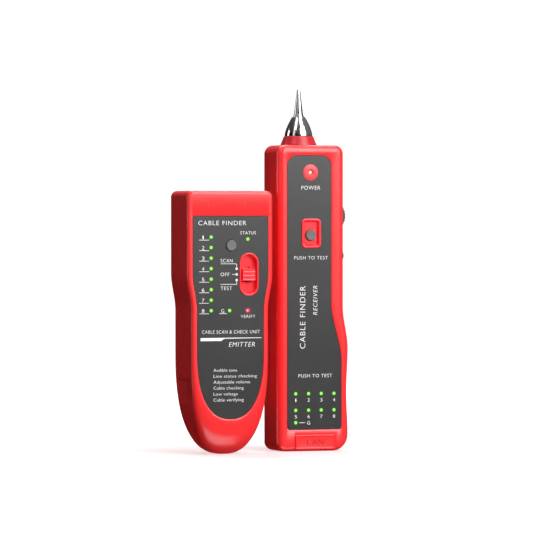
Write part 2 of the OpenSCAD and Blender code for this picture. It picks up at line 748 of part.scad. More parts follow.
module emitter_circuit_board() color([0.08, 0.3, 0.14]) translate(emitter_at) difference() {
    slab(concat(
        [[-16, 46], [16, 46]],
        [for (z = shoulder_zs) [grip_half(z) - wall - 0.6, z]],
        [[emitter_w / 2 - wall - 0.6, emitter_h - wall - 2.5],
         [-emitter_w / 2 + wall + 0.6, emitter_h - wall - 2.5]],
        [for (i = [len(shoulder_zs) - 1:-1:0]) [-grip_half(shoulder_zs[i]) + wall + 0.6, shoulder_zs[i]]]
    ), emitter_board_y, emitter_board_back);
    for (p = emitter_screws) bar_y(p[0], p[1], boss_r + 0.4, emitter_board_y - 1, emitter_board_back + 1);
    for (p = emitter_board_screws_at)
        bar_y(p[0], p[1], board_screw_r + seat_gap, emitter_board_y - 1, emitter_board_back + 1);
}

module microchip(x, z, w, h, y_board, legs) {
    block(x - w / 2, x + w / 2, y_board + 0.2, y_board + 1.9, z - h / 2, z + h / 2);
    for (s = [-1, 1], i = [0:legs - 1])
        block(x + s * (w / 2 + 0.6) - 0.7, x + s * (w / 2 + 0.6) + 0.7, y_board, y_board + 0.6,
            z + (i - (legs - 1) / 2) * 1.27 - 0.2, z + (i - (legs - 1) / 2) * 1.27 + 0.2);
}

module emitter_microchips() color([0.08, 0.08, 0.09]) translate(emitter_at) {
    microchip(-2, 112, 7.5, 12.8, emitter_board_back, 9);
    microchip(12, 108, 4, 5.2, emitter_board_back, 4);
    microchip(12, 122, 4, 5.2, emitter_board_back, 4);
}

module emitter_network_jack() color([0.12, 0.12, 0.13]) translate(emitter_at)
    socket(network_x, network_w, network_h, network_l, emitter_board_back, emitter_mouth, -1);

module emitter_network_contacts() color([0.85, 0.68, 0.3]) translate(emitter_at)
    socket_wires(network_x, 8, network_h, network_l, emitter_board_back, emitter_mouth, -1);

module emitter_phone_jack() color([0.12, 0.12, 0.13]) translate(emitter_at)
    socket(phone_x, phone_w, phone_h, phone_l, emitter_board_back, emitter_mouth, -1);

module emitter_phone_contacts() color([0.85, 0.68, 0.3]) translate(emitter_at)
    socket_wires(phone_x, 4, phone_h, phone_l, emitter_board_back, emitter_mouth, -1);

module emitter_mode_knob() color([0.75, 0.07, 0.1]) translate(emitter_at) difference() {
    round_block(mode_x, mode_z, knob_w, knob_h, 0.8, emitter_front - knob_proud, knob_back);
    for (i = [-2:2]) block(mode_x - knob_w / 2 - 1, mode_x + knob_w / 2 + 1,
        emitter_front - knob_proud - 1, emitter_front - knob_proud + 0.5,
        mode_z + i * 1.4 - 0.3, mode_z + i * 1.4 + 0.3);
    block(mode_x - lever_r - seat_gap, mode_x + lever_r + seat_gap, knob_back - lever_seat, knob_back + 1,
        mode_z - lever_r - seat_gap, mode_z + lever_r + seat_gap);
}

module emitter_mode_lever() color([0.85, 0.85, 0.82]) translate(emitter_at)
    block(mode_x - lever_r, mode_x + lever_r, knob_back - lever_seat, lever_tip,
        mode_z - lever_r, mode_z + lever_r);

module emitter_mode_switch() color([0.7, 0.7, 0.72]) translate(emitter_at) difference() {
    block(mode_x - 3.6, mode_x + 3.6, mode_switch_y, emitter_board_y, mode_z - 8, mode_z + 8);
    block(mode_x - lever_r - slide_gap, mode_x + lever_r + slide_gap,
        mode_switch_y - 1, lever_tip + slide_gap,
        mode_z - mode_step - lever_r - slide_gap, mode_z + mode_step + lever_r + slide_gap);
}

module emitter_tone_button() color([0.5, 0.5, 0.49]) translate(emitter_at)
    push_button(tone_x, tone_z, emitter_front - button_proud, emitter_under,
        emitter_board_y, emitter_switch_h);

module emitter_tone_switch() color([0.6, 0.6, 0.62]) translate(emitter_at)
    push_switch(tone_x, tone_z, emitter_board_y, emitter_switch_h);

lamp_proud = 0.5;
module emitter_channel_lamps() color([0.45, 0.95, 0.3]) translate(emitter_at) {
    for (p = emitter_lamps) lamp(p[0], p[1], lamp_d / 2, emitter_board_y, emitter_front - lamp_proud);
    lamp(ground_x, emitter_h - verify_drop, lamp_d / 2, emitter_board_y, emitter_front - lamp_proud);
}

module emitter_status_lamp() color([0.45, 0.95, 0.3]) translate(emitter_at)
    lamp(status_x, emitter_h - status_drop, lamp_d / 2, emitter_board_y, emitter_front - lamp_proud);

module emitter_verify_lamp() color([1, 0.2, 0.25]) translate(emitter_at)
    lamp(status_x, emitter_h - verify_drop, lamp_d / 2, emitter_board_y, emitter_front - lamp_proud);

module emitter_battery() color([0.75, 0.6, 0.25]) translate(emitter_at)
    battery(0, emitter_bay_z, emitter_back);

module emitter_battery_snap() color([0.1, 0.1, 0.1]) translate(emitter_at)
    battery_snap(0, emitter_bay_z, emitter_back);

// Two leads from the snap, out through the notch over the bay, to the board
module battery_leads(z, y_back, y_board_back, up) {
    y = battery_y(y_back);
    z0 = z + door_t * 2 + battery_foot + battery_h + stud_h - bite + snap_t / 2;
    top = z + bay_h;
    for (s = [0, 1]) wire(curve([
        [11.8, y - 1.5 - s * 2.2, z0], [12.9 - s, y - 1.8 - s * 2.2, z0 + 1],
        [12.6 - s * 1.8, part_y + 2.8 - s * 1.6, top], [12.4 - s * 2, part_y + 1.6 - s, top + 3],
        [11.6 - s * 2.4, (part_y + y_board_back) / 2, top + up - 1],
        [11.2 - s * 2.6, y_board_back + 1.5, top + up],
        [11.2 - s * 2.6, y_board_back - 0.3, top + up]
    ], 4), 0.55);
}

module emitter_battery_leads() color([0.15, 0.12, 0.12]) translate(emitter_at)
    battery_leads(emitter_bay_z, emitter_back, emitter_board_back, 8);

module emitter_case_screws() color([0.6, 0.6, 0.62]) translate(emitter_at)
    for (p = emitter_screws) case_screw(p[0], p[1], emitter_back, emitter_back - head_seat - part_y + 8);

module emitter_board_screws() color([0.65, 0.65, 0.67]) translate(emitter_at)
    for (p = emitter_board_screws_at) board_screw(p[0], p[1], emitter_board_y);

// ---------- Receiver ----------

collar_seat_r = collar_d / 2 - 2;
module receiver_top_seat() {
    translate([probe_x, probe_y, receiver_h - collar_seat_h]) cylinder(r = collar_seat_r + seat_gap, h = 3);
    translate([probe_x, probe_y, receiver_h - 5]) cylinder(r = shank_r + seat_gap, h = 8);
}

module receiver_openings() {
    socket_seat(pad_x, network_w, network_h, receiver_board_back, jack_inset, 1);
    receiver_top_seat();
}

module receiver_face_holes(gap, y0, y1) {
    for (p = receiver_lamps) bar_y(p[0], p[1], lamp_d / 2 + gap, y0, y1);
    bar_y(grid_x[0], ground_z, lamp_d / 2 + gap, y0, y1);
    bar_y(test_x, test_z, button_d / 2 + slide_gap, y0, y1);
}

module receiver_front_cover() color([0.78, 0.07, 0.1]) translate(receiver_at) difference() {
    union() {
        difference() {
            half_case(receiver_outline, receiver_face, receiver_inner, receiver_inner_face,
                receiver_round, receiver_front, 1);
            slab(receiver_label(0), receiver_front - bite, receiver_front + label_depth);
        }
        round_block(test_x, frame_z, frame_w, frame_h, 2.6,
            receiver_front - frame_proud, receiver_under - bite);
        bar_y(power_x, power_z, 3.4, receiver_front - bezel_proud, receiver_front + bite, bezel_r);
        bar_y(power_x, power_z, bezel_r, receiver_front, receiver_under - bite);
        round_block(pad_x, (pad_h + 1.2) / 2, pad_w, pad_h - 1.2, 1,
            receiver_front - pad_rise, receiver_under + 1);
        for (p = receiver_screws) front_post(p[0], p[1], receiver_front);
        for (p = receiver_board_screws_at) board_post(p[0], p[1], receiver_under, receiver_board_y);
    }
    round_block(test_x, frame_z, frame_w - 2.6, frame_h - 2.6, 1.4,
        receiver_front - frame_proud - bite, receiver_front + frame_depth);
    bar_y(power_x, power_z, 1.6, receiver_front - 2, receiver_under + bite);
    receiver_face_holes(seat_gap, receiver_front - bite, receiver_under + bite);
    receiver_openings();
    block(receiver_w / 2 - wall - 3, receiver_w / 2 + 4, wheel_y - slide_gap, wheel_y + wheel_t + slide_gap,
        wheel_z - wheel_r - 0.4, wheel_z + wheel_r + 0.4);
    bar_x(earphone_y, earphone_z, earphone_collar_r + seat_gap,
        receiver_w / 2 - wall - 1, receiver_w / 2 + 3);
}

module receiver_rear_cover() color([0.72, 0.06, 0.09]) translate(receiver_at) difference() {
    union() {
        half_case(receiver_outline, receiver_face, receiver_inner, receiver_inner_face,
            receiver_round, receiver_back, -1);
        bay_walls(0, receiver_bay_z, receiver_back);
        for (p = receiver_screws) rear_boss(p[0], p[1], receiver_back);
        difference() {
            bar_y(0, speaker_z, speaker_r + seat_gap + speaker_ring,
                receiver_back - wall - speaker_t, receiver_back - wall + bite);
            bar_y(0, speaker_z, speaker_r + seat_gap,
                receiver_back - wall - speaker_t - 1, receiver_back - wall);
        }
    }
    difference() {
        bay_opening(0, receiver_bay_z, receiver_back);
        bay_ledge(0, receiver_bay_z, receiver_back);
    }
    thumb_scoop(0, receiver_bay_z, receiver_back);
    for (p = receiver_screws) rear_boss_bore(p[0], p[1], receiver_back);
    receiver_openings();
    for (i = [-3:3]) let(half = sqrt(100 - 9 * i * i))
        block(-half, half, receiver_back - wall - 1, receiver_back + bite,
            speaker_z + i * 3 - 0.7, speaker_z + i * 3 + 0.7);
}

module receiver_face_label() color([0.3, 0.3, 0.29]) translate(receiver_at) difference() {
    slab(receiver_label(seat_gap), receiver_front + seat_gap, receiver_front + label_depth);
    receiver_face_holes(seat_gap, receiver_front, receiver_front + 1);
    round_block(test_x, frame_z, frame_w + 2 * seat_gap, frame_h + 2 * seat_gap, 2.7,
        receiver_front, receiver_front + 1);
    bar_y(power_x, power_z, bezel_r + seat_gap, receiver_front, receiver_front + 1);
}

module receiver_battery_door() color([0.72, 0.06, 0.09]) translate(receiver_at)
    battery_door(0, receiver_bay_z, receiver_back);

module receiver_circuit_board() color([0.08, 0.3, 0.14]) translate(receiver_at) difference() {
    slab([[-receiver_w / 2 + wall + 0.6, 5.5], [-receiver_w / 2 + wall + 3.5, 3],
          [receiver_w / 2 - wall - 4.5, 3], [receiver_w / 2 - wall - 0.6, 7],
          [receiver_w / 2 - wall - 0.6, receiver_h - wall - 3.5],
          [receiver_w / 2 - wall - 3.5, receiver_h - wall - 0.6],
          [-receiver_w / 2 + wall + 3.5, receiver_h - wall - 0.6],
          [-receiver_w / 2 + wall + 0.6, receiver_h - wall - 3.5]], receiver_board_y, receiver_board_back);
    for (p = receiver_screws) bar_y(p[0], p[1], boss_r + 0.4, receiver_board_y - 1, receiver_board_back + 1);
    for (p = receiver_board_screws_at)
        bar_y(p[0], p[1], board_screw_r + seat_gap, receiver_board_y - 1, receiver_board_back + 1);
}

module receiver_microchips() color([0.08, 0.08, 0.09]) translate(receiver_at) {
    microchip(-6, 112, 7.5, 12.8, receiver_board_back, 9);
    microchip(-6, 140, 4, 5.2, receiver_board_back, 4);
    microchip(-6, 152, 4, 5.2, receiver_board_back, 4);
}

module receiver_network_jack() color([0.12, 0.12, 0.13]) translate(receiver_at)
    socket(pad_x, network_w, network_h, network_l, receiver_board_back, jack_inset, 1);

module receiver_network_contacts() color([0.85, 0.68, 0.3]) translate(receiver_at)
    socket_wires(pad_x, 8, network_h, network_l, receiver_board_back, jack_inset, 1);

nose_h = tip_h - needle_h;
nose_steps = 7;
tip_end_r = 0.75;
function nose(t) = tip_d / 2
    + (needle_d / 2 - tip_d / 2) * (0.45 * t + 0.55 * (1 - sqrt(1 - t * t * 0.96)) / 0.8);
module receiver_probe_tip() color([0.8, 0.8, 0.82]) translate(receiver_at)
    translate([probe_x, probe_y, receiver_h + collar_h]) rotate_extrude() polygon(concat(
        [[0, -collar_h - shank_h], [shank_r, -collar_h - shank_h], [shank_r, 0], [tip_d / 2, 0]],
        [for (i = [1:nose_steps]) let(t = i / nose_steps) [nose(t), nose_h * t]],
        [[tip_end_r, tip_h - 0.5], [tip_end_r * 0.6, tip_h], [0, tip_h]]
    ));

module receiver_probe_collar() color([0.75, 0.07, 0.1]) translate(receiver_at)
    translate([probe_x, probe_y, receiver_h]) difference() {
        rotate_extrude() polygon([[0, -collar_seat_h], [collar_seat_r, -collar_seat_h], [collar_seat_r, 0],
            [collar_d / 2, 0], [collar_d / 2, 0.8], [collar_d / 2 - 0.4, 2],
            [tip_d / 2 + 0.9, collar_h - 0.6],
            [tip_d / 2 + 0.3, collar_h], [0, collar_h]]);
        translate([0, 0, -5]) cylinder(r = shank_r + seat_gap, h = 15);
    }

module receiver_probe_nut() color([0.7, 0.7, 0.72]) translate(receiver_at)
    translate([probe_x, probe_y, receiver_h - wall - nut_h]) difference() {
        cylinder(r = nut_r, h = nut_h, $fn = 6);
        translate([0, 0, -1]) cylinder(r = shank_r + 0.02, h = nut_h + 2);
    }

module receiver_probe_lead() color([0.8, 0.75, 0.2]) translate(receiver_at)
    wire(curve([[probe_x, probe_y, receiver_h - shank_h + 1], [probe_x, probe_y, receiver_h - shank_h - 1.5],
        [probe_x + 1, probe_y - 1.5, receiver_h - shank_h - 5],
        [probe_x + 2, receiver_board_back + 3, receiver_h - 20],
        [probe_x + 2, receiver_board_back - 0.3, receiver_h - 20]], 4), 0.6);

module receiver_volume_wheel() color([0.4, 0.4, 0.39]) translate(receiver_at) difference() {
    union() {
        bar_y(wheel_x, wheel_z, wheel_r - 0.4, wheel_y, wheel_y + 0.4 + bite, wheel_r);
        bar_y(wheel_x, wheel_z, wheel_r, wheel_y + 0.4, wheel_y + wheel_t - 0.4);
        bar_y(wheel_x, wheel_z, wheel_r, wheel_y + wheel_t - 0.4 - bite, wheel_y + wheel_t, wheel_r - 0.4);
    }
    bar_y(wheel_x, wheel_z, axle_r + pivot_gap, wheel_y - 1, wheel_y + wheel_t + 1);
    for (i = [0:29]) rotate_at(wheel_x, wheel_z, i * 12)
        bar_y(wheel_x + wheel_r + 0.15, wheel_z, 0.5, wheel_y - 1, wheel_y + wheel_t + 1);
}

module rotate_at(x, z, a) {
    translate([x, 0, z]) rotate([0, a, 0]) translate([-x, 0, -z]) children();
}

module receiver_volume_control() color([0.2, 0.2, 0.22]) translate(receiver_at) {
    block(wheel_x - 5.5, min(wheel_x + 5.5, receiver_w / 2 - wall - 0.4),
        receiver_board_back, wheel_y - slide_gap, wheel_z - 5.5, wheel_z + 5.5);
    bar_y(wheel_x, wheel_z, axle_r, wheel_y - slide_gap - bite, wheel_y + wheel_t + slide_gap + bite);
    bar_y(wheel_x, wheel_z, axle_r + axle_lip, wheel_y + wheel_t + slide_gap, wheel_y + wheel_t + slide_gap + 0.7);
}

module receiver_test_button() color([0.5, 0.5, 0.49]) translate(receiver_at)
    push_button(test_x, test_z, receiver_front - 0.2, receiver_under, receiver_board_y, receiver_switch_h);

module receiver_test_switch() color([0.6, 0.6, 0.62]) translate(receiver_at)
    push_switch(test_x, test_z, receiver_board_y, receiver_switch_h);

module receiver_power_lamp() color([1, 0.55, 0.5]) translate(receiver_at)
    lamp(power_x, power_z, 1.5, receiver_board_y, receiver_front - bezel_proud - 0.1);

module receiver_channel_lamps() color([0.45, 0.95, 0.3]) translate(receiver_at) {
    for (p = receiver_lamps) lamp(p[0], p[1], lamp_d / 2, receiver_board_y, receiver_front - lamp_proud);
    lamp(grid_x[0], ground_z, lamp_d / 2, receiver_board_y, receiver_front - lamp_proud);
}

module receiver_earphone_jack() color([0.12, 0.12, 0.13]) translate(receiver_at) difference() {
    union() {
        block(receiver_w / 2 - wall - 0.4 - earphone_l, receiver_w / 2 - wall - 0.4, receiver_board_back,
            receiver_board_back + earphone_body_t, earphone_z - 3.2, earphone_z + 3.2);
        bar_x(earphone_y, earphone_z, earphone_collar_r,
            receiver_w / 2 - wall - 0.4 - bite, receiver_w / 2 + earphone_proud);
    }
    bar_x(earphone_y, earphone_z, earphone_bore_r,
        receiver_w / 2 - wall - earphone_l + 1, receiver_w / 2 + earphone_proud + 1);
}

module receiver_speaker() color([0.15, 0.15, 0.16]) translate(receiver_at) {
    bar_y(0, speaker_z, speaker_r, receiver_back - wall - speaker_t, receiver_back - wall);
    bar_y(0, speaker_z, magnet_r,
        receiver_back - wall - speaker_t - magnet_t, receiver_back - wall - speaker_t + bite);
}

module receiver_speaker_leads() color([0.7, 0.1, 0.1]) translate(receiver_at)
    for (s = [-1, 1]) wire(curve([[s * 2 - 10, receiver_back - wall - speaker_t + 0.3, speaker_z],
        [s * 2 - 10, receiver_back - wall - speaker_t - 3, speaker_z + 0.5],
        [s * 2 - 10, receiver_board_back + 3, speaker_z - 3],
        [s * 2 - 10, receiver_board_back - 0.3, speaker_z - 4]], 4), 0.5);

module receiver_battery() color([0.75, 0.6, 0.25]) translate(receiver_at)
    battery(0, receiver_bay_z, receiver_back);

module receiver_battery_snap() color([0.1, 0.1, 0.1]) translate(receiver_at)
    battery_snap(0, receiver_bay_z, receiver_back);

module receiver_battery_leads() color([0.15, 0.12, 0.12]) translate(receiver_at)
    battery_leads(receiver_bay_z, receiver_back, receiver_board_back, 7);

module receiver_case_screws() color([0.6, 0.6, 0.62]) translate(receiver_at)
    for (p = receiver_screws) case_screw(p[0], p[1], receiver_back, receiver_back - head_seat - part_y + 8);

module receiver_board_screws() color([0.65, 0.65, 0.67]) translate(receiver_at)
    for (p = receiver_board_screws_at) board_screw(p[0], p[1], receiver_board_y);

emitter_front_cover();
emitter_rear_cover();
emitter_face_label();
emitter_battery_door();
emitter_circuit_board();
emitter_microchips();
emitter_network_jack();
emitter_network_contacts();
emitter_phone_jack();
emitter_phone_contacts();
emitter_mode_knob();
emitter_mode_lever();
emitter_mode_switch();
emitter_tone_button();
emitter_tone_switch();
emitter_channel_lamps();
emitter_status_lamp();
emitter_verify_lamp();
emitter_battery();
emitter_battery_snap();
emitter_battery_leads();
emitter_case_screws();
emitter_board_screws();
receiver_front_cover();
receiver_rear_cover();
receiver_face_label();
receiver_battery_door();
receiver_circuit_board();
receiver_microchips();
receiver_network_jack();
receiver_network_contacts();
receiver_probe_tip();
receiver_probe_collar();
receiver_probe_nut();
receiver_probe_lead();
receiver_volume_wheel();
receiver_volume_control();
receiver_test_button();
receiver_test_switch();
receiver_power_lamp();
receiver_channel_lamps();
receiver_earphone_jack();
receiver_speaker();
receiver_speaker_leads();
receiver_battery();
receiver_battery_snap();
receiver_battery_leads();
receiver_case_screws();
receiver_board_screws();
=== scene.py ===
import bpy, bmesh, json, math
import numpy as np
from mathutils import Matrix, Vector


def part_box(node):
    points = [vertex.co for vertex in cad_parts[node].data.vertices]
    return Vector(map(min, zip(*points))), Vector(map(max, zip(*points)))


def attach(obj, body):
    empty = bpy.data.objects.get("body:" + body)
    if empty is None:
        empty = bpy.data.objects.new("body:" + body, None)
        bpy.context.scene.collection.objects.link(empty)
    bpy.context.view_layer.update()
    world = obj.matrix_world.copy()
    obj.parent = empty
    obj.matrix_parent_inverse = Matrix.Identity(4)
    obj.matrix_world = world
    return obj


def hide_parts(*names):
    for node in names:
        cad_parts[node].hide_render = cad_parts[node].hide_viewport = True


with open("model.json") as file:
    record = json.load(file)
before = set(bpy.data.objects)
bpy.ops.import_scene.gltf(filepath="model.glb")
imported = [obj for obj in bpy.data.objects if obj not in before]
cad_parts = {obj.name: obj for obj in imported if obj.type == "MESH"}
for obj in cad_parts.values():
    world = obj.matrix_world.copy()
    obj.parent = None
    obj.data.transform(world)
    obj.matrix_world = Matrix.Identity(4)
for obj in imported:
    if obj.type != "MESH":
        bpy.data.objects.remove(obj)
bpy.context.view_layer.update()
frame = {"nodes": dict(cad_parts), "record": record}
print("packed model loaded")

# Each case is worked out in millimetres about its own middle, then carried to where its packed box stands.
# y runs from the face at the front to the back, and z from the ground up.
mm = 0.001
emitter = dict(
    height=154.2, width=52.8, gripWidth=47.4, depth=32.0, shoulderDrop=48.2, gripDrop=70.2, tailHeight=60.0,
    faceLow=19.5, tailRound=13.0, tailPower=0.76, facePower=0.85, edgeRound=1.8, cornerRound=3.6, wall=2.2,
    parting=1.0, labelDepth=0.6, labelLip=1.3, labelDrop=14.6, labelCorner=0.35, bayLow=33, scoop=91,
    hollowLow=32.0, hollowHigh=44.0, hollowDepth=0.8, screws=[(-19.2, 124.2), (19.2, 124.2), (0, 23.6)],
)
receiver = dict(
    height=181.5, width=42.0, depth=27.5, swell=3.1, swellTop=86.0, swellAt=61.0, dip=0.9, edgeRound=3.8,
    cornerRound=5.2, palmCorner=9.5, wall=2.2, parting=1.0, labelDepth=0.6, labelLeft=-15.4, labelRight=12.6,
    labelTop=175.5, labelLow=12.8, labelSwell=6.4, labelTopRound=6.5, labelLowRound=2.0, bayLow=25, scoop=83,
    screws=[(-15.6, 166.5), (15.6, 166.5), (-15.6, 10), (16.0, 13)],
)
emitterLow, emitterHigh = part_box("emitter_rear_cover")
receiverLow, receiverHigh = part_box("receiver_rear_cover")
emitterAt = np.array([(emitterLow.x + emitterHigh.x) / 2 / mm, emitterHigh.y / mm - emitter["depth"] / 2, 0])
receiverAt = np.array([receiverLow.x / mm + receiver["width"] / 2,
                       receiverHigh.y / mm - receiver["depth"] / 2, 0])
emitterFace, emitterBack = -emitter["depth"] / 2, emitter["depth"] / 2
receiverFace, receiverBack = -receiver["depth"] / 2, receiver["depth"] / 2


class Value:  # one output of a shader node, with arithmetic
    def __init__(self, shader, socket):
        self.shader, self.socket = shader, socket

    def maths(self, operation, first, second):
        return self.shader.node("ShaderNodeMath", {"operation": operation}, {0: first, 1: second})

    def __add__(self, other):
        return self.maths("ADD", self, other)

    def __radd__(self, other):
        return self.maths("ADD", other, self)

    def __sub__(self, other):
        return self.maths("SUBTRACT", self, other)

    def __rsub__(self, other):
        return self.maths("SUBTRACT", other, self)

    def __mul__(self, other):
        return self.maths("MULTIPLY", self, other)

    def __rmul__(self, other):
        return self.maths("MULTIPLY", other, self)


class Shader:  # the nodes of one material, or of the world
    def __init__(self, name, owner=None):
        self.owner = owner or bpy.data.materials.new(name)
        self.owner.use_nodes = True
        self.tree = self.owner.node_tree
        self.tree.nodes.clear()

    def node(self, kind, settings={}, values={}, output=0):  # settings first, then values or links by socket
        made = self.tree.nodes.new(kind)
        for key, value in settings.items():
            if key == "stops":
                ramp = made.color_ramp
                while len(ramp.elements) < len(value):
                    ramp.elements.new(1.0)
                for stop, (position, colour) in zip(ramp.elements, value):
                    stop.position, stop.color = position, (*colour, 1)
            else:
                setattr(made, key, value)
        for key, value in values.items():
            if isinstance(value, Value):
                self.tree.links.new(value.socket, made.inputs[key])
            else:
                made.inputs[key].default_value = value
        return Value(self, made.outputs[output]) if made.outputs else made

    def place(self):
        return self.node("ShaderNodeTexCoord", output="Object")

    def noise(self, scale, detail=3, roughness=0.55, vector=None):
        return self.node("ShaderNodeTexNoise", {}, {"Vector": vector or self.place(), "Scale": scale,
                                                    "Detail": detail, "Roughness": roughness}, "Fac")

    def blend(self, factor, first, second):  # a colour between two others
        return self.node("ShaderNodeMix", {"data_type": "RGBA"},
                         {0: factor, 6: (*first, 1), 7: (*second, 1)}, 2)

    def bump(self, height, strength, distance):
        return self.node("ShaderNodeBump", {}, {"Height": height, "Strength": strength, "Distance": distance},
                         "Normal")

    def finish(self, values):
        surface = self.node("ShaderNodeBsdfPrincipled", {}, values)
        self.node("ShaderNodeOutputMaterial", {}, {"Surface": surface})
        return self.owner


def tint(colour, factor):  # lighter or darker, with no part over 1
    return tuple(min(1.0, part * factor) for part in colour)


# A moulded or printed surface: fine grain in the bump, broad drift in colour and gloss, small dull specks
def mouldedFinish(name, colour, roughness, grain=1500, bump=0.05, drift=0.12, coat=0.0):
    shader = Shader(name)
    fine, broad = shader.noise(grain, 2), shader.noise(28, 4)
    specks = shader.node("ShaderNodeValToRGB", {"stops": [(0.62, (0, 0, 0)), (0.74, (1, 1, 1))]},
                         {0: shader.noise(420, 3)})
    return shader.finish({
        "Base Color": shader.blend(broad, tint(colour, 1 - drift), tint(colour, 1 + drift)),
        "Roughness": roughness + (broad - 0.5) * 0.10 + (fine - 0.5) * 0.08 + specks * 0.03,
        "Specular IOR Level": 0.5, "Coat Weight": coat, "Coat Roughness": 0.12,
        "Normal": shader.bump(fine, bump, 0.0003),
    })


# Metal with fine grain; stretch draws the grain out along an axis
def metalFinish(name, colour, roughness, grain=9000, bump=0.03, stretch=(1, 1, 1)):
    shader = Shader(name)
    stretched = shader.node("ShaderNodeMapping", {}, {"Vector": shader.place(), "Scale": stretch})
    fine, broad = shader.noise(grain, 2, 0.5, stretched), shader.noise(60, 3)
    return shader.finish({
        "Base Color": shader.blend(broad, tint(colour, 0.9), tint(colour, 1.06)), "Metallic": 1.0,
        "Roughness": roughness + (fine - 0.5) * 0.10 + (broad - 0.5) * 0.06,
        "Normal": shader.bump(fine, bump, 0.0002),
    })


# A lit lamp: a hot middle that falls to its own colour where the dome turns away; more fall, a smaller core
def lampFinish(name, middle, edge, strength, fall=1.0):
    shader = Shader(name)
    facing = shader.node("ShaderNodeLayerWeight", {}, {"Blend": 0.62}, "Facing")
    cloudy = shader.noise(900, 2)
    away = facing * fall + (cloudy - 0.5) * 0.2
    return shader.finish({
        "Base Color": shader.blend(away, tint(middle, 0.3), tint(edge, 0.3)),
        "Emission Color": shader.blend(away, middle, edge), "Emission Strength": strength,
        "Roughness": 0.14 + (cloudy - 0.5) * 0.08,
    })


# Green lacquer over copper tracks on a board
def boardFinish(name):
    shader = Shader(name)
    tracks = shader.node("ShaderNodeTexBrick", {"offset": 0.37}, {
        "Vector": shader.place(), "Scale": 260.0, "Color1": (1, 1, 1, 1), "Color2": (0.4, 0.4, 0.4, 1),
        "Mortar": (0, 0, 0, 1), "Mortar Size": 0.04})
    return shader.finish({
        "Base Color": shader.blend(tracks, (0.02, 0.09, 0.03), (0.03, 0.20, 0.07)),
        "Roughness": 0.35 + shader.noise(300) * 0.15, "Normal": shader.bump(tracks, 0.15, 0.0002),
    })


# The battery's printed jacket: a dark band, and a copper-coloured one above the split, a height in metres
def jacketFinish(name, split=0.066):
    shader = Shader(name)
    height = shader.node("ShaderNodeSeparateXYZ", {}, {0: shader.place()}, "Z")
    band = shader.node("ShaderNodeMath", {"operation": "GREATER_THAN"},
                       {0: height + shader.noise(40) * 0.0004, 1: split})
    return shader.finish({
        "Base Color": shader.blend(band, (0.03, 0.03, 0.035), (0.55, 0.24, 0.08)), "Metallic": 0.55,
        "Roughness": 0.32 + (shader.noise(700) - 0.5) * 0.12,
        "Normal": shader.bump(shader.noise(1200), 0.05, 0.0002),
    })


finishes = dict(
    redCase=mouldedFinish("redCase", (0.93, 0.027, 0.030), 0.30, 1300, 0.06, 0.05, coat=0.15),
    redBright=mouldedFinish("redBright", (0.95, 0.022, 0.035), 0.30, 1500, 0.05, 0.05, coat=0.2),
    # the collar's red is the case's red made darker: painted shade on the collar
    redCollar=mouldedFinish("redCollar", (0.50, 0.013, 0.022), 0.34, 1500, 0.05, 0.05),
    redLens=mouldedFinish("redLens", (0.74, 0.055, 0.065), 0.42, 1300, 0.05, 0.06),
    # the raised letters' red is made darker than the case: painted shade round the letters
    redMark=mouldedFinish("redMark", (0.60, 0.010, 0.014), 0.36, 1300, 0.06, 0.05),
    greyLabel=mouldedFinish("greyLabel", (0.029, 0.029, 0.0285), 0.31, 2600, 0.10, 0.06),
    greyControl=mouldedFinish("greyControl", (0.125, 0.122, 0.118), 0.50, 2200, 0.14, 0.08),
    wheelGrey=mouldedFinish("wheelGrey", (0.060, 0.053, 0.051), 0.55, 2200, 0.14, 0.10),
    blackPlastic=mouldedFinish("blackPlastic", (0.018, 0.018, 0.019), 0.38, 1600, 0.08, 0.2),
    whitePlastic=mouldedFinish("whitePlastic", (0.72, 0.72, 0.68), 0.38, 1600, 0.06, 0.05),
    whiteInk=mouldedFinish("whiteInk", (0.88, 0.88, 0.87), 0.55, 3000, 0.05, 0.04),
    # the rings round the green lamps are coloured as painted glow of their light on the label
    lampShade=mouldedFinish("lampShade", (0.020, 0.050, 0.012), 0.40, 2600, 0.08, 0.2),
    # the ring round the verify lamp is coloured as painted glow of its red light on the label
    verifyShade=mouldedFinish("verifyShade", (0.34, 0.012, 0.030), 0.40, 2600, 0.08, 0.2),
    greenLamp=lampFinish("greenLamp", (0.36, 1.0, 0.12), (0.04, 0.42, 0.02), 0.95),
    redLamp=lampFinish("redLamp", (1.0, 0.42, 0.46), (0.45, 0.01, 0.04), 0.9, 2.2),
    powerLamp=lampFinish("powerLamp", (1.0, 0.85, 0.70), (0.78, 0.06, 0.05), 0.95, 2.0),
    goldContact=metalFinish("goldContact", (0.83, 0.58, 0.22), 0.22),
    screwSteel=metalFinish("screwSteel", (0.60, 0.60, 0.61), 0.32, 4000, 0.06),
    switchSteel=metalFinish("switchSteel", (0.62, 0.62, 0.63), 0.36, 4000, 0.06, (1, 1, 8)),
    probeChrome=metalFinish("probeChrome", (0.62, 0.61, 0.61), 0.12, 5000, 0.006, (0.02, 0.02, 1)),
    speakerMetal=metalFinish("speakerMetal", (0.10, 0.10, 0.11), 0.45, 3000, 0.08),
    batteryJacket=jacketFinish("batteryJacket"),
    circuitBoard=boardFinish("circuitBoard"),
    wireDark=mouldedFinish("wireDark", (0.02, 0.017, 0.016), 0.55, 1800, 0.08, 0.2),
    wireRed=mouldedFinish("wireRed", (0.42, 0.02, 0.015), 0.50, 1800, 0.08, 0.1),
    wireYellow=mouldedFinish("wireYellow", (0.66, 0.50, 0.04), 0.50, 1800, 0.08, 0.1),
)


def camel(name):  # case_screws becomes caseScrews
    words = name.split("_")
    return words[0] + "".join(word.capitalize() for word in words[1:])


for part in frame["record"]["subparts"]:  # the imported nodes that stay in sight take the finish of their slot
    mesh = frame["nodes"][part["node"]].data
    mesh.materials.clear()
    mesh.materials.append(finishes[camel(part["material_slot"])])
print("finishes made")


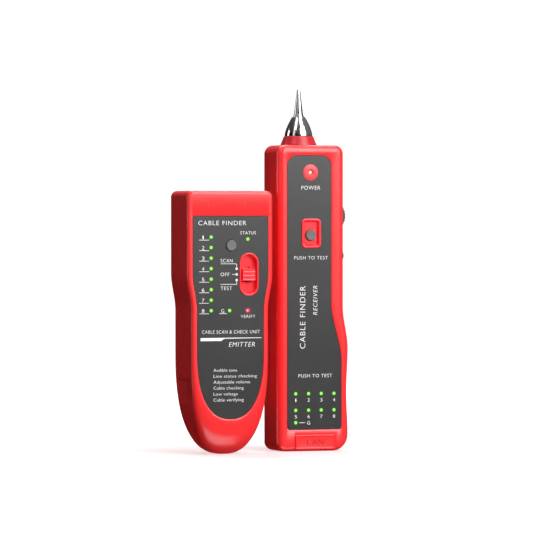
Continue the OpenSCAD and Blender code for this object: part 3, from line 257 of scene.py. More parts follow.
def applyAll(made):  # the piece's modifiers become its mesh
    bpy.context.view_layer.update()
    done = bpy.data.meshes.new_from_object(made.evaluated_get(bpy.context.evaluated_depsgraph_get()))
    made.modifiers.clear()
    made.data = done


def cutAway(made, cutter):  # takes the cutter's space out of the piece
    step = made.modifiers.new("cut", "BOOLEAN")
    step.object, step.operation, step.solver = cutter, "DIFFERENCE", "EXACT"
    applyAll(made)
    bpy.data.objects.remove(cutter)


def softenEdges(made, width, segments=2, angle=35):  # a narrow round on the edges sharper than the angle
    step = made.modifiers.new("soft", "BEVEL")
    step.width, step.segments = width * mm, segments
    step.limit_method, step.angle_limit = "ANGLE", math.radians(angle)
    applyAll(made)


# A finished piece: its finish, smooth shading up to the sharp angle, its body and what it replaces
def piece(made, body, finish, replaces=(), sharp=32, even=False):
    made.data.materials.clear()
    made.data.materials.append(finishes[finish])
    made.data.shade_smooth()
    made.data.set_sharp_from_angle(angle=math.radians(sharp))
    if even:  # large flat faces keep their shading beside narrow bevels
        made.modifiers.new("even", "WEIGHTED_NORMAL").keep_sharp = True
    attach(made, body)
    if replaces:
        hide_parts(*replaces)


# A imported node's own shape again with soft edges: the copy is merged, its flat faces joined, then bevelled
def finerCopy(node, body, finish, width):
    mesh = frame["nodes"][node].data.copy()
    work = bmesh.new()
    work.from_mesh(mesh)
    bmesh.ops.remove_doubles(work, verts=work.verts, dist=1e-6)
    bmesh.ops.dissolve_limit(work, angle_limit=math.radians(1), verts=work.verts, edges=work.edges)
    work.to_mesh(mesh)
    work.free()
    made = bpy.data.objects.new(camel(node), mesh)
    bpy.context.scene.collection.objects.link(made)
    softenEdges(made, width)
    piece(made, body, finish, [node], 40, True)


for node, body, slot, finish, width in (
        ("emitter_battery_door", "emitter_door", "red_case", "redCase", 0.16),
        ("receiver_battery_door", "receiver_door", "red_case", "redCase", 0.16),
        ("receiver_volume_wheel", "volume_wheel", "grey_control", "wheelGrey", 0.12),
        ("emitter_case_screws", "emitter", "screw_steel", "screwSteel", 0.10),
        ("receiver_case_screws", "receiver", "screw_steel", "screwSteel", 0.10),
        ("emitter_network_jack", "emitter", "black_plastic", "blackPlastic", 0.12),
        ("emitter_phone_jack", "emitter", "black_plastic", "blackPlastic", 0.12),
        ("receiver_network_jack", "receiver", "black_plastic", "blackPlastic", 0.12),
        ("receiver_earphone_jack", "receiver", "black_plastic", "blackPlastic", 0.12)):
    finerCopy(node, body, finish, width)
print("doors, wheel, screws and sockets made")


def gridFaces(rows, columns):  # every cell of the grid as a quad; the last column meets the first
    row, column = np.meshgrid(np.arange(rows - 1), np.arange(columns), indexing="ij")
    here, after = row * columns, (column + 1) % columns
    corners = [here + column, here + after, here + columns + after, here + columns + column]
    return np.stack(corners, -1).reshape(-1, 4).tolist()


def stack(rings):  # rings of [x, y, z] with equal counts, joined one to the next and closed at both ends
    count = len(rings[0])
    ends = [list(range(count))[::-1], list(range((len(rings) - 1) * count, len(rings) * count))]
    return np.concatenate(rings), gridFaces(len(rings), count) + ends


def together(shapes):  # several (points, faces) as one
    allPoints, allFaces, start = [], [], 0
    for points, faces in shapes:
        allPoints.append(points)
        allFaces += [[corner + start for corner in face] for face in faces]
        start += len(points)
    return np.concatenate(allPoints), allFaces


def bare(name, shape, at):  # a mesh object in metres with its faces turned outwards
    points, faces = shape
    mesh = bpy.data.meshes.new(name)
    mesh.from_pydata(((points + at) * mm).tolist(), [], faces)
    work = bmesh.new()
    work.from_mesh(mesh)
    bmesh.ops.recalc_face_normals(work, faces=work.faces)
    work.to_mesh(mesh)
    work.free()
    made = bpy.data.objects.new(name, mesh)
    bpy.context.scene.collection.objects.link(made)
    return made


def cutFrom(made, shapes, at):  # several (points, faces) taken out of the piece in one cut
    cutAway(made, bare("cutter", together(shapes), at))


def smooth(t):  # 3t^2 - 2t^3 between 0 and 1
    t = np.clip(t, 0, 1)
    return t * t * (3 - 2 * t)


# Each point of a closed [x, z] loop moved inwards by its own distance, along the sum of the normals before and
# after it, over 1 plus their dot product
def inset(loop, by):
    def normal(start, end):
        step = end - start
        length = np.maximum(np.linalg.norm(step, axis=1), 1e-9)
        return np.stack([-step[:, 1], step[:, 0]], 1) / length[:, None]
    before, after = normal(np.roll(loop, 1, 0), loop), normal(loop, np.roll(loop, -1, 0))
    share = np.broadcast_to(by, len(loop)) / (1 + np.sum(before * after, 1))
    return loop + (before + after) * share[:, None]


def atDepth(loop, y):  # an [x, z] loop set at a depth, one for all or one each
    return np.stack([loop[:, 0], np.broadcast_to(y, len(loop)), loop[:, 1]], 1)


def arc(x, z, radius, start, end, count):  # points on a circle from one angle to another, in degrees
    angle = np.radians(np.linspace(start, end, count))
    return np.stack([x + radius * np.cos(angle), z + radius * np.sin(angle)], 1)


def line(x0, z0, x1, z1, count):  # points between two ends, without the ends
    t = np.linspace(0, 1, count + 2)[1:-1]
    return np.stack([x0 + (x1 - x0) * t, z0 + (z1 - z0) * t], 1)


def box(x0, x1, y0, y1, z0, z1):  # a block between two corners
    ring = np.array([[x0, z0], [x1, z0], [x1, z1], [x0, z1]], float)
    return stack([atDepth(ring, y0), atDepth(ring, y1)])


def blockAt(x, z, width, height, y0, y1):  # a box given by its middle across and up
    return box(x - width / 2, x + width / 2, y0, y1, z - height / 2, z + height / 2)


def roundedLoop(x, z, width, height, radius, count):  # a rectangle with round corners, anticlockwise in front
    right, top = width / 2 - radius, height / 2 - radius
    corners = [(right, -top, -90), (right, top, 0), (-right, top, 90), (-right, -top, 180)]
    return np.concatenate([arc(x + dx, z + dz, radius, turn, turn + 90, count) for dx, dz, turn in corners])


# A profile of (inset, depth) steps carried round a rounded rectangle, closed at its first and last step
def framed(x, z, width, height, radius, profile, count=12):
    rings = []
    for by, y in profile:
        loop = roundedLoop(x, z, width - 2 * by, height - 2 * by, max(radius - by, 0.05), count)
        rings.append(atDepth(loop, y))
    return stack(rings)


# A profile of (radius, distance) turned about an axis through (x, z) along Y, or through (x, y) along Z
def turned(profile, first, second, along="y", count=96):
    angle = np.linspace(0, 2 * np.pi, count, endpoint=False)
    rings = []
    for radius, distance in profile:
        one, two = first + radius * np.cos(angle), second + radius * np.sin(angle)
        level = np.full(count, distance)
        rings.append(np.stack([one, level, two] if along == "y" else [one, two, level], 1))
    return stack(rings)


def gripHalf(z):  # half width of the emitter at a height: the grip's, then a smooth rise to the head's
    low, high = emitter["height"] - emitter["gripDrop"], emitter["height"] - emitter["shoulderDrop"]
    share = smooth((z - low) / (high - low))
    return (emitter["gripWidth"] + (emitter["width"] - emitter["gripWidth"]) * share) / 2


tailPoints = 240  # on each half of the tail


# Emitter outline: a tail of cos^power by sin^power, a straight grip, a smooth shoulder and a head with round
# corners. The whole line is set inwards by a distance, and the low and top ends are given.
def emitterLoop(into, low, power, top, corner):
    tailTop = emitter["tailHeight"]
    gripTop, shoulder = emitter["height"] - emitter["gripDrop"], emitter["height"] - emitter["shoulderDrop"]
    angle = np.radians(np.linspace(90, 0, tailPoints))
    tail = np.stack([(emitter["gripWidth"] / 2 - into) * np.cos(angle).clip(0) ** power,
                     tailTop - (tailTop - low) * np.sin(angle) ** power], 1)
    z = np.concatenate([np.linspace(tailTop, gripTop, 16)[1:], np.linspace(gripTop, shoulder, 40)[1:],
                        np.linspace(shoulder, top - corner, 24)[1:-1]])
    half = emitter["width"] / 2 - into
    right = np.concatenate([tail, np.stack([gripHalf(z) - into, z], 1),
                            arc(half - corner, top - corner, corner, 0, 90, 9),
                            line(half - corner, top, 0, top, 12), [[0, top]]])
    return np.concatenate([right, right[1:-1][::-1] * [-1, 1]])


def palmRight(z):  # right edge of the receiver at a height: a smooth swell, less a slight dip below it
    swell = smooth((receiver["swellTop"] - z) / (receiver["swellTop"] - receiver["swellAt"]))
    dip = np.clip((z - receiver["palmCorner"]) / (receiver["swellAt"] - receiver["palmCorner"]), 0, 1)
    return receiver["width"] / 2 + receiver["swell"] * swell - receiver["dip"] * np.sin(np.pi * dip) ** 2


def rightHeights(low, high):  # heights up the right side, closer together over the swell
    return np.concatenate([np.linspace(low, 52, 24)[1:], np.linspace(52, 88, 44)[1:],
                           np.linspace(88, high, 40)[1:-1]])


# Receiver outline: straight left side and top, round corners, and the palm's swell up the right side
def receiverLoop():
    half, height = receiver["width"] / 2, receiver["height"]
    corner, palm = receiver["cornerRound"], receiver["palmCorner"]
    right, z = palmRight(palm), rightHeights(palm, height - corner)
    return np.concatenate([
        arc(-half + corner, corner, corner, 180, 270, 14), line(-half + corner, 0, right - palm, 0, 20),
        arc(right - palm, palm, palm, 270, 360, 14), np.stack([palmRight(z), z], 1),
        arc(half - corner, height - corner, corner, 0, 90, 16),
        line(half - corner, height, -half + corner, height, 20),
        arc(-half + corner, height - corner, corner, 90, 180, 16),
        line(-half, height - corner, -half, corner, 60)])


# Label outline: round corners, and a right side that swells by the mean of a straight and a smooth rise
def receiverLabelLoop(into):
    left, right = receiver["labelLeft"] + into, receiver["labelRight"] - into
    low, top = receiver["labelLow"] + into, receiver["labelTop"] - into
    topRound, lowRound = receiver["labelTopRound"] - into, receiver["labelLowRound"] - into
    wide = right + receiver["labelSwell"]
    z = rightHeights(low + lowRound, top - topRound)
    t = np.clip((receiver["swellTop"] - z) / (receiver["swellTop"] - receiver["swellAt"] + 5), 0, 1)
    return np.concatenate([
        arc(left + lowRound, low + lowRound, lowRound, 180, 270, 14),
        line(left + lowRound, low, wide - lowRound, low, 20),
        arc(wide - lowRound, low + lowRound, lowRound, 270, 360, 14),
        np.stack([right + receiver["labelSwell"] * (t + smooth(t)) / 2, z], 1),
        arc(right - topRound, top - topRound, topRound, 0, 90, 16),
        line(right - topRound, top, left + topRound, top, 20),
        arc(left + topRound, top - topRound, topRound, 90, 180, 16),
        line(left, top - topRound, left, low + lowRound, 60)])


# Half a case as one closed skin: face, rounded edge, side, parting line, then the same again inside.
# loops are the outer side, the face, the inner side and the inner face; into is 1 for a front, -1 for a back.
def halfCase(loops, rounding, face, into, case, seat=None, groove=None):
    side, faceLoop, inner, innerFace = loops
    parting, rings = case["parting"], []

    def put(loop, y):
        rings.append(atDepth(inset(loop, groove(loop, y)) if groove else loop, y))
    if seat is not None:  # the label's seat: its floor, then the lip's soft edge
        for by, depth in ((0, case["labelDepth"]), (0, 0.22), (-0.07, 0.07), (-0.22, 0)):
            rings.append(atDepth(inset(seat, by) if by else seat, face + into * depth))
    for angle in np.radians(np.linspace(90, 0, 12)):
        put(side + (faceLoop - side) * (1 - math.cos(angle)), face + into * rounding * (1 - math.sin(angle)))
    start = face + into * rounding
    for t in np.linspace(0, 1, 9)[1:]:
        put(side, start + (parting - into * 0.25 - start) * t)
    put(inset(side, 0.2), np.full(len(side), parting))
    rings.append(atDepth(inner, parting))
    for angle in np.radians(np.linspace(0, 90, 7)):
        loop = inner + (innerFace - inner) * (1 - math.cos(angle))
        rings.append(atDepth(loop, face + into * (case["wall"] + rounding * (1 - math.sin(angle)))))
    return stack(rings)


def labelShape(loop, face):  # a thin sheet with a slight edge, its front just below the face
    return stack([atDepth(loop(by), face + depth) for by, depth in ((0.1, 0.6), (0.1, 0.2), (0.2, 0.1))])


bay = dict(width=28.1, height=57.0, wall=1.6, ledge=5.15, front=1.05, stop=2.1, ledgeStop=4.6)
screwWell = dict(inner=1.3, outer=3.4, head=2.6, seat=3.0, rim=1.9)
cutBefore, cutPast = 3.0, 3.2  # how far a hole's cutter starts before a face and runs past it


def bayShapes(low, back):  # behind the door: the bay's four walls and the ledge under the battery
    half, wall, y0, y1 = bay["width"] / 2, bay["wall"], bay["front"], back - bay["stop"]
    top = low + bay["height"]
    return [box(-half - wall, -half, y0, y1, low - wall, top + wall),
            box(half, half + wall, y0, y1, low - wall, top + wall),
            box(-half, half, y0, y1, low - wall, low), box(-half, half, y0, y1, top, top + wall),
            box(-half, half, y0, back - bay["ledgeStop"], low, low + bay["ledge"])]


def screwWells(places, back):  # a tube down to each screw's seat
    inner, outer, head = (screwWell[key] for key in ("inner", "outer", "head"))
    rim, seat = back - screwWell["rim"], back - screwWell["seat"]
    profile = [(inner, bay["front"]), (outer, bay["front"]), (outer, rim), (head, rim), (head, seat),
               (inner, seat), (inner, bay["front"] + 0.01)]
    return [turned(profile, x, z, count=48) for x, z in places]


def rearHoles(case, back):  # screw heads and door opening
    near, far, radius, middle = back - 4, back + 3, screwWell["head"], case["bayLow"] + bay["height"] / 2
    heads = [turned([(radius, near), (radius, far)], x, z, count=48) for x, z in case["screws"]]
    return heads + [blockAt(0, middle, bay["width"], bay["height"], near, far)]


def thumbScoop(z, back, radius=6.2, away=5):  # part of a ball that bites the wall above a door
    angle = np.linspace(0.02, np.pi - 0.02, 24)
    return turned([(radius * math.sin(t), back + away - radius * math.cos(t)) for t in angle], 0, z, count=48)


# A button: flat stem and flange behind, a soft shoulder and a slightly hollow top
def buttonShape(x, z, radius, top, under, stem):
    shoulder = ((0.45, 0.45), (0.42, 0.28), (0.32, 0.13), (0.17, 0.03), (0, 0))
    profile = [(1.5, stem), (1.5, under + 1.0), (radius + 1, under + 1.0), (radius + 1, under + 0.3)]
    profile += [(radius, under + 0.3)] + [(radius - 0.45 + out, top + down) for out, down in shoulder]
    profile += [(radius * t, top + 0.12 * (1 - (t / 0.86) ** 2)) for t in (0.75, 0.6, 0.4, 0.2, 0.05)]
    return turned(profile, x, z)


def lampShapes(places, radius, tip, board):  # a barrel and a round dome at each place
    angles = np.linspace(0, np.pi / 2, 9)[:-1]
    dome = [(radius * math.cos(t), tip + radius * (1 - math.sin(t))) for t in angles]
    return together([turned([(radius, board)] + dome + [(0.02, tip)], x, z, count=32) for x, z in places])


def lampGlowRings(places, outer, face):  # a flat ring on the label round each lamp, coloured as painted glow of the lamp's light
    front, back = face + 0.08, face + 0.13
    profile = [(1.0, back), (1.0, front), (outer, front), (outer, back)]
    return together([turned(profile, x, z, count=40) for x, z in places])


edge, corner, wall, height = (emitter[key] for key in ("edgeRound", "cornerRound", "wall", "height"))
emitterLoops = [
    emitterLoop(0, 0, emitter["tailPower"], height, corner),
    emitterLoop(edge, emitter["faceLow"], emitter["facePower"], height - edge, corner - edge),
    emitterLoop(wall, wall, emitter["tailPower"], height - wall, corner - wall),
    emitterLoop(wall + edge / 2, emitter["faceLow"] + wall / 2, emitter["facePower"],
                height - wall - edge / 2, 0.5)]


def emitterLabelLoop(into):  # the emitter's own outline, set in past the edge's rounding and the lip
    lip = emitter["labelLip"]
    return emitterLoop(edge + lip + into, emitter["faceLow"] + lip + into, emitter["facePower"],
                       height - emitter["labelDrop"] - into, emitter["labelCorner"])


# The edge's rounding grows from the sides to the tail's foot with the square of the sine
tailAngle = np.radians(np.linspace(90, 0, tailPoints))
roundHalf = np.concatenate([edge + (emitter["tailRound"] - edge) * np.sin(tailAngle) ** 2,
                            np.full(len(emitterLoops[0]) // 2 + 1 - tailPoints, edge)])
emitterRound = np.concatenate([roundHalf, roundHalf[1:-1][::-1]])


# A shallow hollow in each side: (1 - (y / depth)^2)^1.3 from face to back, with a smooth step at either end
def fingerHollow(loop, y):
    fade = np.clip(1 - (y / (emitter["depth"] / 2 - 1.5)) ** 2, 0, 1) ** 1.3 * (np.abs(loop[:, 0]) > 8)
    above = smooth((loop[:, 1] - emitter["hollowLow"] + 3.5) / 6)
    below = smooth((emitter["hollowHigh"] + 0.5 - loop[:, 1]) / 1.6)
    return emitter["hollowDepth"] * fade * above * below


# Each socket: its middle across, its width and its depth
sockets = dict(front=8.6, network=(3.5, 14.6, 13.0), phone=(-16.3, 12.6, 11.8), gap=0.1, low=140, high=160)


def socketHoles():  # the two openings in the emitter's top end
    y, gap, low, high = emitterFace + sockets["front"], sockets["gap"], sockets["low"], sockets["high"]
    return [box(x - width / 2 - gap, x + width / 2 + gap, y - gap, y + depth + gap, low, high)
            for x, width, depth in (sockets["network"], sockets["phone"])]


modeSwitch = dict(x=11.4, z=105.4, width=11.9, height=25.2, slotHalf=1.5, slotReach=4.8)
toneButton = dict(x=0.5, z=122.3, radius=3.2, hole=3.5, proud=0.9)


def switchHole(less):  # the well's outline, smaller by a distance
    width, height = modeSwitch["width"] - less, modeSwitch["height"] - less
    return framed(modeSwitch["x"], modeSwitch["z"], width, height, width / 2,
                  [(0, emitterFace - cutBefore), (0, emitterFace + cutPast)])


def hole(x, z, radius, face):  # a round cutter through a face
    return turned([(radius, face - cutBefore), (radius, face + cutPast)], x, z, count=64)


toneHole = hole(toneButton["x"], toneButton["z"], toneButton["hole"], emitterFace)
shell = bare("emitterFrontCover", halfCase(emitterLoops, emitterRound, emitterFace, 1, emitter,
                                           emitterLabelLoop(0), fingerHollow), emitterAt)
cutFrom(shell, [switchHole(0.5), toneHole] + socketHoles(), emitterAt)
piece(shell, "emitter", "redCase", ["emitter_front_cover"])

label = bare("emitterLabel", labelShape(emitterLabelLoop, emitterFace), emitterAt)
cutFrom(label, [switchHole(0.3), toneHole], emitterAt)
piece(label, "emitter", "greyLabel", ["emitter_face_label"])

# Switch well: foot, soft rim, steep wall and floor with the lever's slot, as (inset, depth from the face)
wellProfile = [(0, 3.9), (0, -0.15), (0.10, -0.32), (0.28, -0.4), (0.72, -0.4), (0.92, -0.32), (1.05, -0.1),
               (1.20, 2.7), (1.35, 3.0), (1.65, 3.2)]
wellShape = framed(modeSwitch["x"], modeSwitch["z"], modeSwitch["width"], modeSwitch["height"],
                   modeSwitch["width"] / 2, [(by, emitterFace + y) for by, y in wellProfile], 24)
well = bare("emitterSwitchWell", wellShape, emitterAt)
slot = blockAt(modeSwitch["x"], modeSwitch["z"], 2 * modeSwitch["slotHalf"], 2 * modeSwitch["slotReach"],
               emitterFace + 2, emitterFace + 6)
cutFrom(well, [slot], emitterAt)
piece(well, "emitter", "redBright", even=True)

# Knob: its side view, with shallow grooves exp(-(z/width)^2) across the top, carried over its width
knob = dict(width=7.7, low=-3.75, high=3.15, grooves=(-2.6, -0.3, 2.0), grooveDepth=0.10, grooveWidth=0.28,
            top=-0.3, bottom=2.9, lever=1.3, leverTop=1.4)
z = np.linspace(knob["low"], knob["high"], 61)
dips = sum(np.exp(-((z - groove) / knob["grooveWidth"]) ** 2) for groove in knob["grooves"])
knobTop, knobFoot = emitterFace + knob["top"] + knob["grooveDepth"] * dips, emitterFace + knob["bottom"]
section = np.concatenate([np.stack([knobTop, modeSwitch["z"] + z], 1),
                          [[knobFoot, modeSwitch["z"] + knob["high"]],
                           [knobFoot, modeSwitch["z"] + knob["low"]]]])
sides = [np.insert(section, 0, modeSwitch["x"] + side * knob["width"] / 2, axis=1) for side in (-1, 1)]
slider = bare("emitterModeKnob", stack(sides), emitterAt)
leverHole = blockAt(modeSwitch["x"], modeSwitch["z"], 2 * knob["lever"], 2 * knob["lever"],
                    emitterFace + knob["leverTop"], emitterFace + 4)
cutFrom(slider, [leverHole], emitterAt)
softenEdges(slider, 0.22, 3, 50)
piece(slider, "mode_knob", "redBright", ["emitter_mode_knob"], 40, True)

# Thin plate on the lever behind the floor, which keeps the slot covered as the knob slides
switchPlate = dict(width=4.8, height=16.4, front=4.05, back=4.4, hole=2.5)
plateShape = blockAt(modeSwitch["x"], modeSwitch["z"], switchPlate["width"], switchPlate["height"],
                     emitterFace + switchPlate["front"], emitterFace + switchPlate["back"])
plateHole = blockAt(modeSwitch["x"], modeSwitch["z"], switchPlate["hole"], switchPlate["hole"],
                    emitterFace + 3, emitterFace + 5)
plate = bare("emitterSwitchPlate", plateShape, emitterAt)
cutFrom(plate, [plateHole], emitterAt)
piece(plate, "mode_knob", "redBright")

tone = bare("emitterToneButton", buttonShape(toneButton["x"], toneButton["z"], toneButton["radius"],
            emitterFace - toneButton["proud"], emitterFace + 2.2, emitterFace + 3.9), emitterAt)
piece(tone, "tone_button", "greyControl", ["emitter_tone_button"])

lamps = dict(radius=1.2, proud=0.5, shade=1.65, board=7, columnX=-11.9, columnTop=127.2, pitch=6.13,
             groundX=-0.5, rightX=10.8, statusZ=126.0)
columnPlaces = [(lamps["columnX"], lamps["columnTop"] - row * lamps["pitch"]) for row in range(8)]
verifyZ = columnPlaces[-1][1]
channelPlaces = columnPlaces + [(lamps["groundX"], verifyZ)]
statusPlace, verifyPlace = (lamps["rightX"], lamps["statusZ"]), (lamps["rightX"], verifyZ)
for name, places, slotName, finish, node in (
        ("emitterChannelLamps", channelPlaces, "green_lamp", "greenLamp", "emitter_channel_lamps"),
        ("emitterStatusLamp", [statusPlace], "green_lamp", "greenLamp", "emitter_status_lamp"),
        ("emitterVerifyLamp", [verifyPlace], "red_lamp", "redLamp", "emitter_verify_lamp")):
    domes = lampShapes(places, lamps["radius"], emitterFace - lamps["proud"], emitterFace + lamps["board"])
    piece(bare(name, domes, emitterAt), "emitter", finish, [node])
# rings of painted green glow on the label round each lamp
rings = lampGlowRings(channelPlaces + [statusPlace], lamps["shade"], emitterFace)
piece(bare("emitterLampShades", rings, emitterAt), "emitter", "lampShade")
# a ring of painted red glow on the label round the verify lamp
rings = lampGlowRings([verifyPlace], lamps["shade"] + 0.1, emitterFace)
piece(bare("emitterVerifyShade", rings, emitterAt), "emitter", "verifyShade")

shell = bare("emitterRearCover", halfCase(emitterLoops, emitterRound, emitterBack, -1, emitter,
                                          groove=fingerHollow), emitterAt)
cutFrom(shell, socketHoles() + rearHoles(emitter, emitterBack), emitterAt)
cutFrom(shell, [thumbScoop(emitter["scoop"], emitterBack)], emitterAt)
piece(shell, "emitter", "redCase", ["emitter_rear_cover"])
inside = bayShapes(emitter["bayLow"], emitterBack) + screwWells(emitter["screws"], emitterBack)
piece(bare("emitterBay", together(inside), emitterAt), "emitter", "redCase")
print("emitter made")

testButton = dict(x=-0.2, z=128.1, radius=3.2, hole=3.5, frameZ=129.2, frameWidth=12.1, frameHeight=17.4,
                  frameCorner=2.6)
powerLamp = dict(x=-0.6, z=165.2, hole=4.7, bezel=4.85, rise=0.6, radius=1.45, proud=0.65)
panel = dict(x=2.4, z=5.55, width=25.3, height=8.7, corner=1.0, groove=1.1, grooveDepth=0.35, grooveCorner=1.5)
socket = dict(half=7.4, front=6.85, back=20.05, low=-4, high=8)
wheelSlot = dict(low=-3.8, high=-0.2, z=139.5, half=9.9)
earphone = dict(y=-3.8, z=116.0, radius=2.6)
probe = dict(x=-2.8, y=1.0, seat=8.8, shank=3.1, sink=1.2)
sound = dict(z=100, pitch=3, halfSlot=0.7, radius=10)

outline = receiverLoop()
receiverLoops = [outline, inset(outline, receiver["edgeRound"]), inset(outline, receiver["wall"]),
                 inset(outline, receiver["wall"] + receiver["edgeRound"] / 2)]
receiverRound = np.full(len(outline), receiver["edgeRound"])


def frameHole(less):  # the button frame's outline, smaller by a distance
    width, height = testButton["frameWidth"] - less, testButton["frameHeight"] - less
    return framed(testButton["x"], testButton["frameZ"], width, height, testButton["frameCorner"] - less / 2,
                  [(0, receiverFace - cutBefore), (0, receiverFace + cutPast)])


bezelHole = hole(powerLamp["x"], powerLamp["z"], powerLamp["hole"], receiverFace)
socketHole = box(panel["x"] - socket["half"], panel["x"] + socket["half"], receiverFace + socket["front"],
                 receiverFace + socket["back"], socket["low"], socket["high"])
caseTop, caseSide = receiver["height"], receiver["width"] / 2
collarHole = turned([(probe["seat"], caseTop - probe["sink"]), (probe["seat"], caseTop + 4.5)],
                    probe["x"], probe["y"], "z", 96)
shankHole = turned([(probe["shank"], caseTop - 6.5), (probe["shank"], caseTop - 0.5)],
                   probe["x"], probe["y"], "z", 48)
wheelHole = box(caseSide - 3, caseSide + 5, wheelSlot["low"], wheelSlot["high"],
                wheelSlot["z"] - wheelSlot["half"], wheelSlot["z"] + wheelSlot["half"])
jackProfile = [(earphone["radius"], caseSide - 4), (earphone["radius"], caseSide + 4)]
jackPoints, jackFaces = turned(jackProfile, earphone["y"], earphone["z"], count=48)
jackHole = jackPoints[:, [1, 0, 2]], jackFaces  # turned about X instead of Y
grooveHole = framed(panel["x"], panel["z"], panel["width"] + panel["groove"],
                    panel["height"] + panel["groove"], panel["grooveCorner"],
                    [(0, receiverFace - 1), (0, receiverFace + panel["grooveDepth"])])

shell = bare("receiverFrontCover", halfCase(receiverLoops, receiverRound, receiverFace, 1, receiver,
                                            receiverLabelLoop(0)), receiverAt)
cutFrom(shell, [frameHole(0.5), bezelHole, socketHole, collarHole, wheelHole, jackHole], receiverAt)
cutFrom(shell, [grooveHole], receiverAt)
cutFrom(shell, [shankHole], receiverAt)
piece(shell, "receiver", "redCase", ["receiver_front_cover"])

label = bare("receiverLabel", labelShape(receiverLabelLoop, receiverFace), receiverAt)
cutFrom(label, [frameHole(0.3), bezelHole], receiverAt)
piece(label, "receiver", "greyLabel", ["receiver_face_label"])

# Button frame: soft rim, sloped walls and a floor with the button's hole, as (inset, depth from the face)
frameProfile = [(0, 2.2), (0, -0.3), (0.12, -0.5), (0.35, -0.6), (1.0, -0.6), (1.22, -0.5), (1.35, -0.3),
                (2.1, 0.9), (2.3, 1.2)]
frameShape = framed(testButton["x"], testButton["frameZ"], testButton["frameWidth"],
                    testButton["frameHeight"], testButton["frameCorner"],
                    [(by, receiverFace + y) for by, y in frameProfile])
surround = bare("receiverButtonFrame", frameShape, receiverAt)
buttonHole = turned([(testButton["hole"], receiverFace), (testButton["hole"], receiverFace + 3)],
                    testButton["x"], testButton["z"], count=64)
cutFrom(surround, [buttonHole], receiverAt)
piece(surround, "receiver", "redBright", even=True)
test = bare("receiverTestButton", buttonShape(testButton["x"], testButton["z"], testButton["radius"],
            receiverFace - 0.2, receiverFace + 2.2, receiverFace + 3.25), receiverAt)
piece(test, "test_button", "greyControl", ["receiver_test_button"])

receiverBoard = receiverFace + 5.3  # the lamps stand on the board

# Power lamp bezel: a low dome, radius cos^0.9 by rise sin, with a soft hole in its middle
wide, rise = powerLamp["bezel"], powerLamp["rise"]
bezelProfile = [(1.6, 2.1), (wide, 2.1), (wide, 0.05)]
angles = np.radians(np.linspace(8, 62, 9))
bezelProfile += [(wide * math.cos(t) ** 0.9, 0.05 - rise * math.sin(t)) for t in angles]
bezelProfile += [(2.0, -0.52), (1.75, -0.4), (1.6, -0.2), (1.6, 2.05)]
bezel = turned([(radius, receiverFace + y) for radius, y in bezelProfile], powerLamp["x"], powerLamp["z"])
piece(bare("receiverPowerBezel", bezel, receiverAt), "receiver", "redLens", sharp=50)
dome = lampShapes([(powerLamp["x"], powerLamp["z"])], powerLamp["radius"], receiverFace - powerLamp["proud"],
                  receiverBoard)
piece(bare("receiverPowerLamp", dome, receiverAt), "receiver", "powerLamp",
      ["receiver_power_lamp"])

lampPlaces = [(x, z) for z in (34.2, 24.4) for x in (-9.9, -1.8, 6.2, 14.3)] + [(-9.9, 17.1)]
domes = lampShapes(lampPlaces, lamps["radius"], receiverFace - lamps["proud"], receiverBoard)
piece(bare("receiverChannelLamps", domes, receiverAt), "receiver", "greenLamp",
      ["receiver_channel_lamps"])
# rings of painted green glow on the label round each lamp
piece(bare("receiverLampShades", lampGlowRings(lampPlaces, lamps["shade"], receiverFace), receiverAt),
      "receiver", "lampShade")

# Raised panel over the socket: soft outer edge, then a shallow field inside a narrow frame
panelProfile = [(0, 3.2), (0, -0.25), (0.12, -0.42), (0.3, -0.5), (0.85, -0.5), (1.0, -0.42), (1.15, -0.22),
                (1.4, -0.18)]
raised = framed(panel["x"], panel["z"], panel["width"], panel["height"], panel["corner"],
                [(by, receiverFace + y) for by, y in panelProfile])
piece(bare("receiverSocketPanel", raised, receiverAt), "receiver", "redCase")

# Sound slots: rows across a circle
slots = []
for row in range(-3, 4):
    half, z = math.sqrt(sound["radius"] ** 2 - (sound["pitch"] * row) ** 2), sound["z"] + row * sound["pitch"]
    slots.append(blockAt(0, z, 2 * half, 2 * sound["halfSlot"], receiverBack - 3, receiverBack + 2))
shell = bare("receiverRearCover", halfCase(receiverLoops, receiverRound, receiverBack, -1, receiver),
             receiverAt)
cutFrom(shell, slots + [socketHole, collarHole] + rearHoles(receiver, receiverBack), receiverAt)
cutFrom(shell, [thumbScoop(receiver["scoop"], receiverBack), shankHole], receiverAt)
piece(shell, "receiver", "redCase", ["receiver_rear_cover"])
inside = bayShapes(receiver["bayLow"], receiverBack) + screwWells(receiver["screws"], receiverBack)
piece(bare("receiverBay", together(inside), receiverAt), "receiver", "redCase")

# Probe collar: a foot in the case, a round edge, a cone and a flat top, as (radius, height over the case)
collarProfile = [(probe["shank"], -probe["sink"]), (8.7, -probe["sink"]), (8.7, 0), (10.7, 0), (10.7, 0.5),
                 (10.55, 0.9), (10.2, 1.6)]
collarProfile += [(10.2 - 1.3 * t, 1.6 + 3.4 * t) for t in (0.3, 0.6, 0.9)]
collarProfile += [(8.75, 5.25), (8.5, 5.5), (probe["shank"], 5.5), (probe["shank"], 0.05 - probe["sink"])]
collar = turned([(radius, caseTop + up) for radius, up in collarProfile], probe["x"], probe["y"], "z", 128)
# the collar takes the darkened red, painted shade
piece(bare("receiverProbeCollar", collar, receiverAt), "receiver", "redCollar",
      ["receiver_probe_collar"])

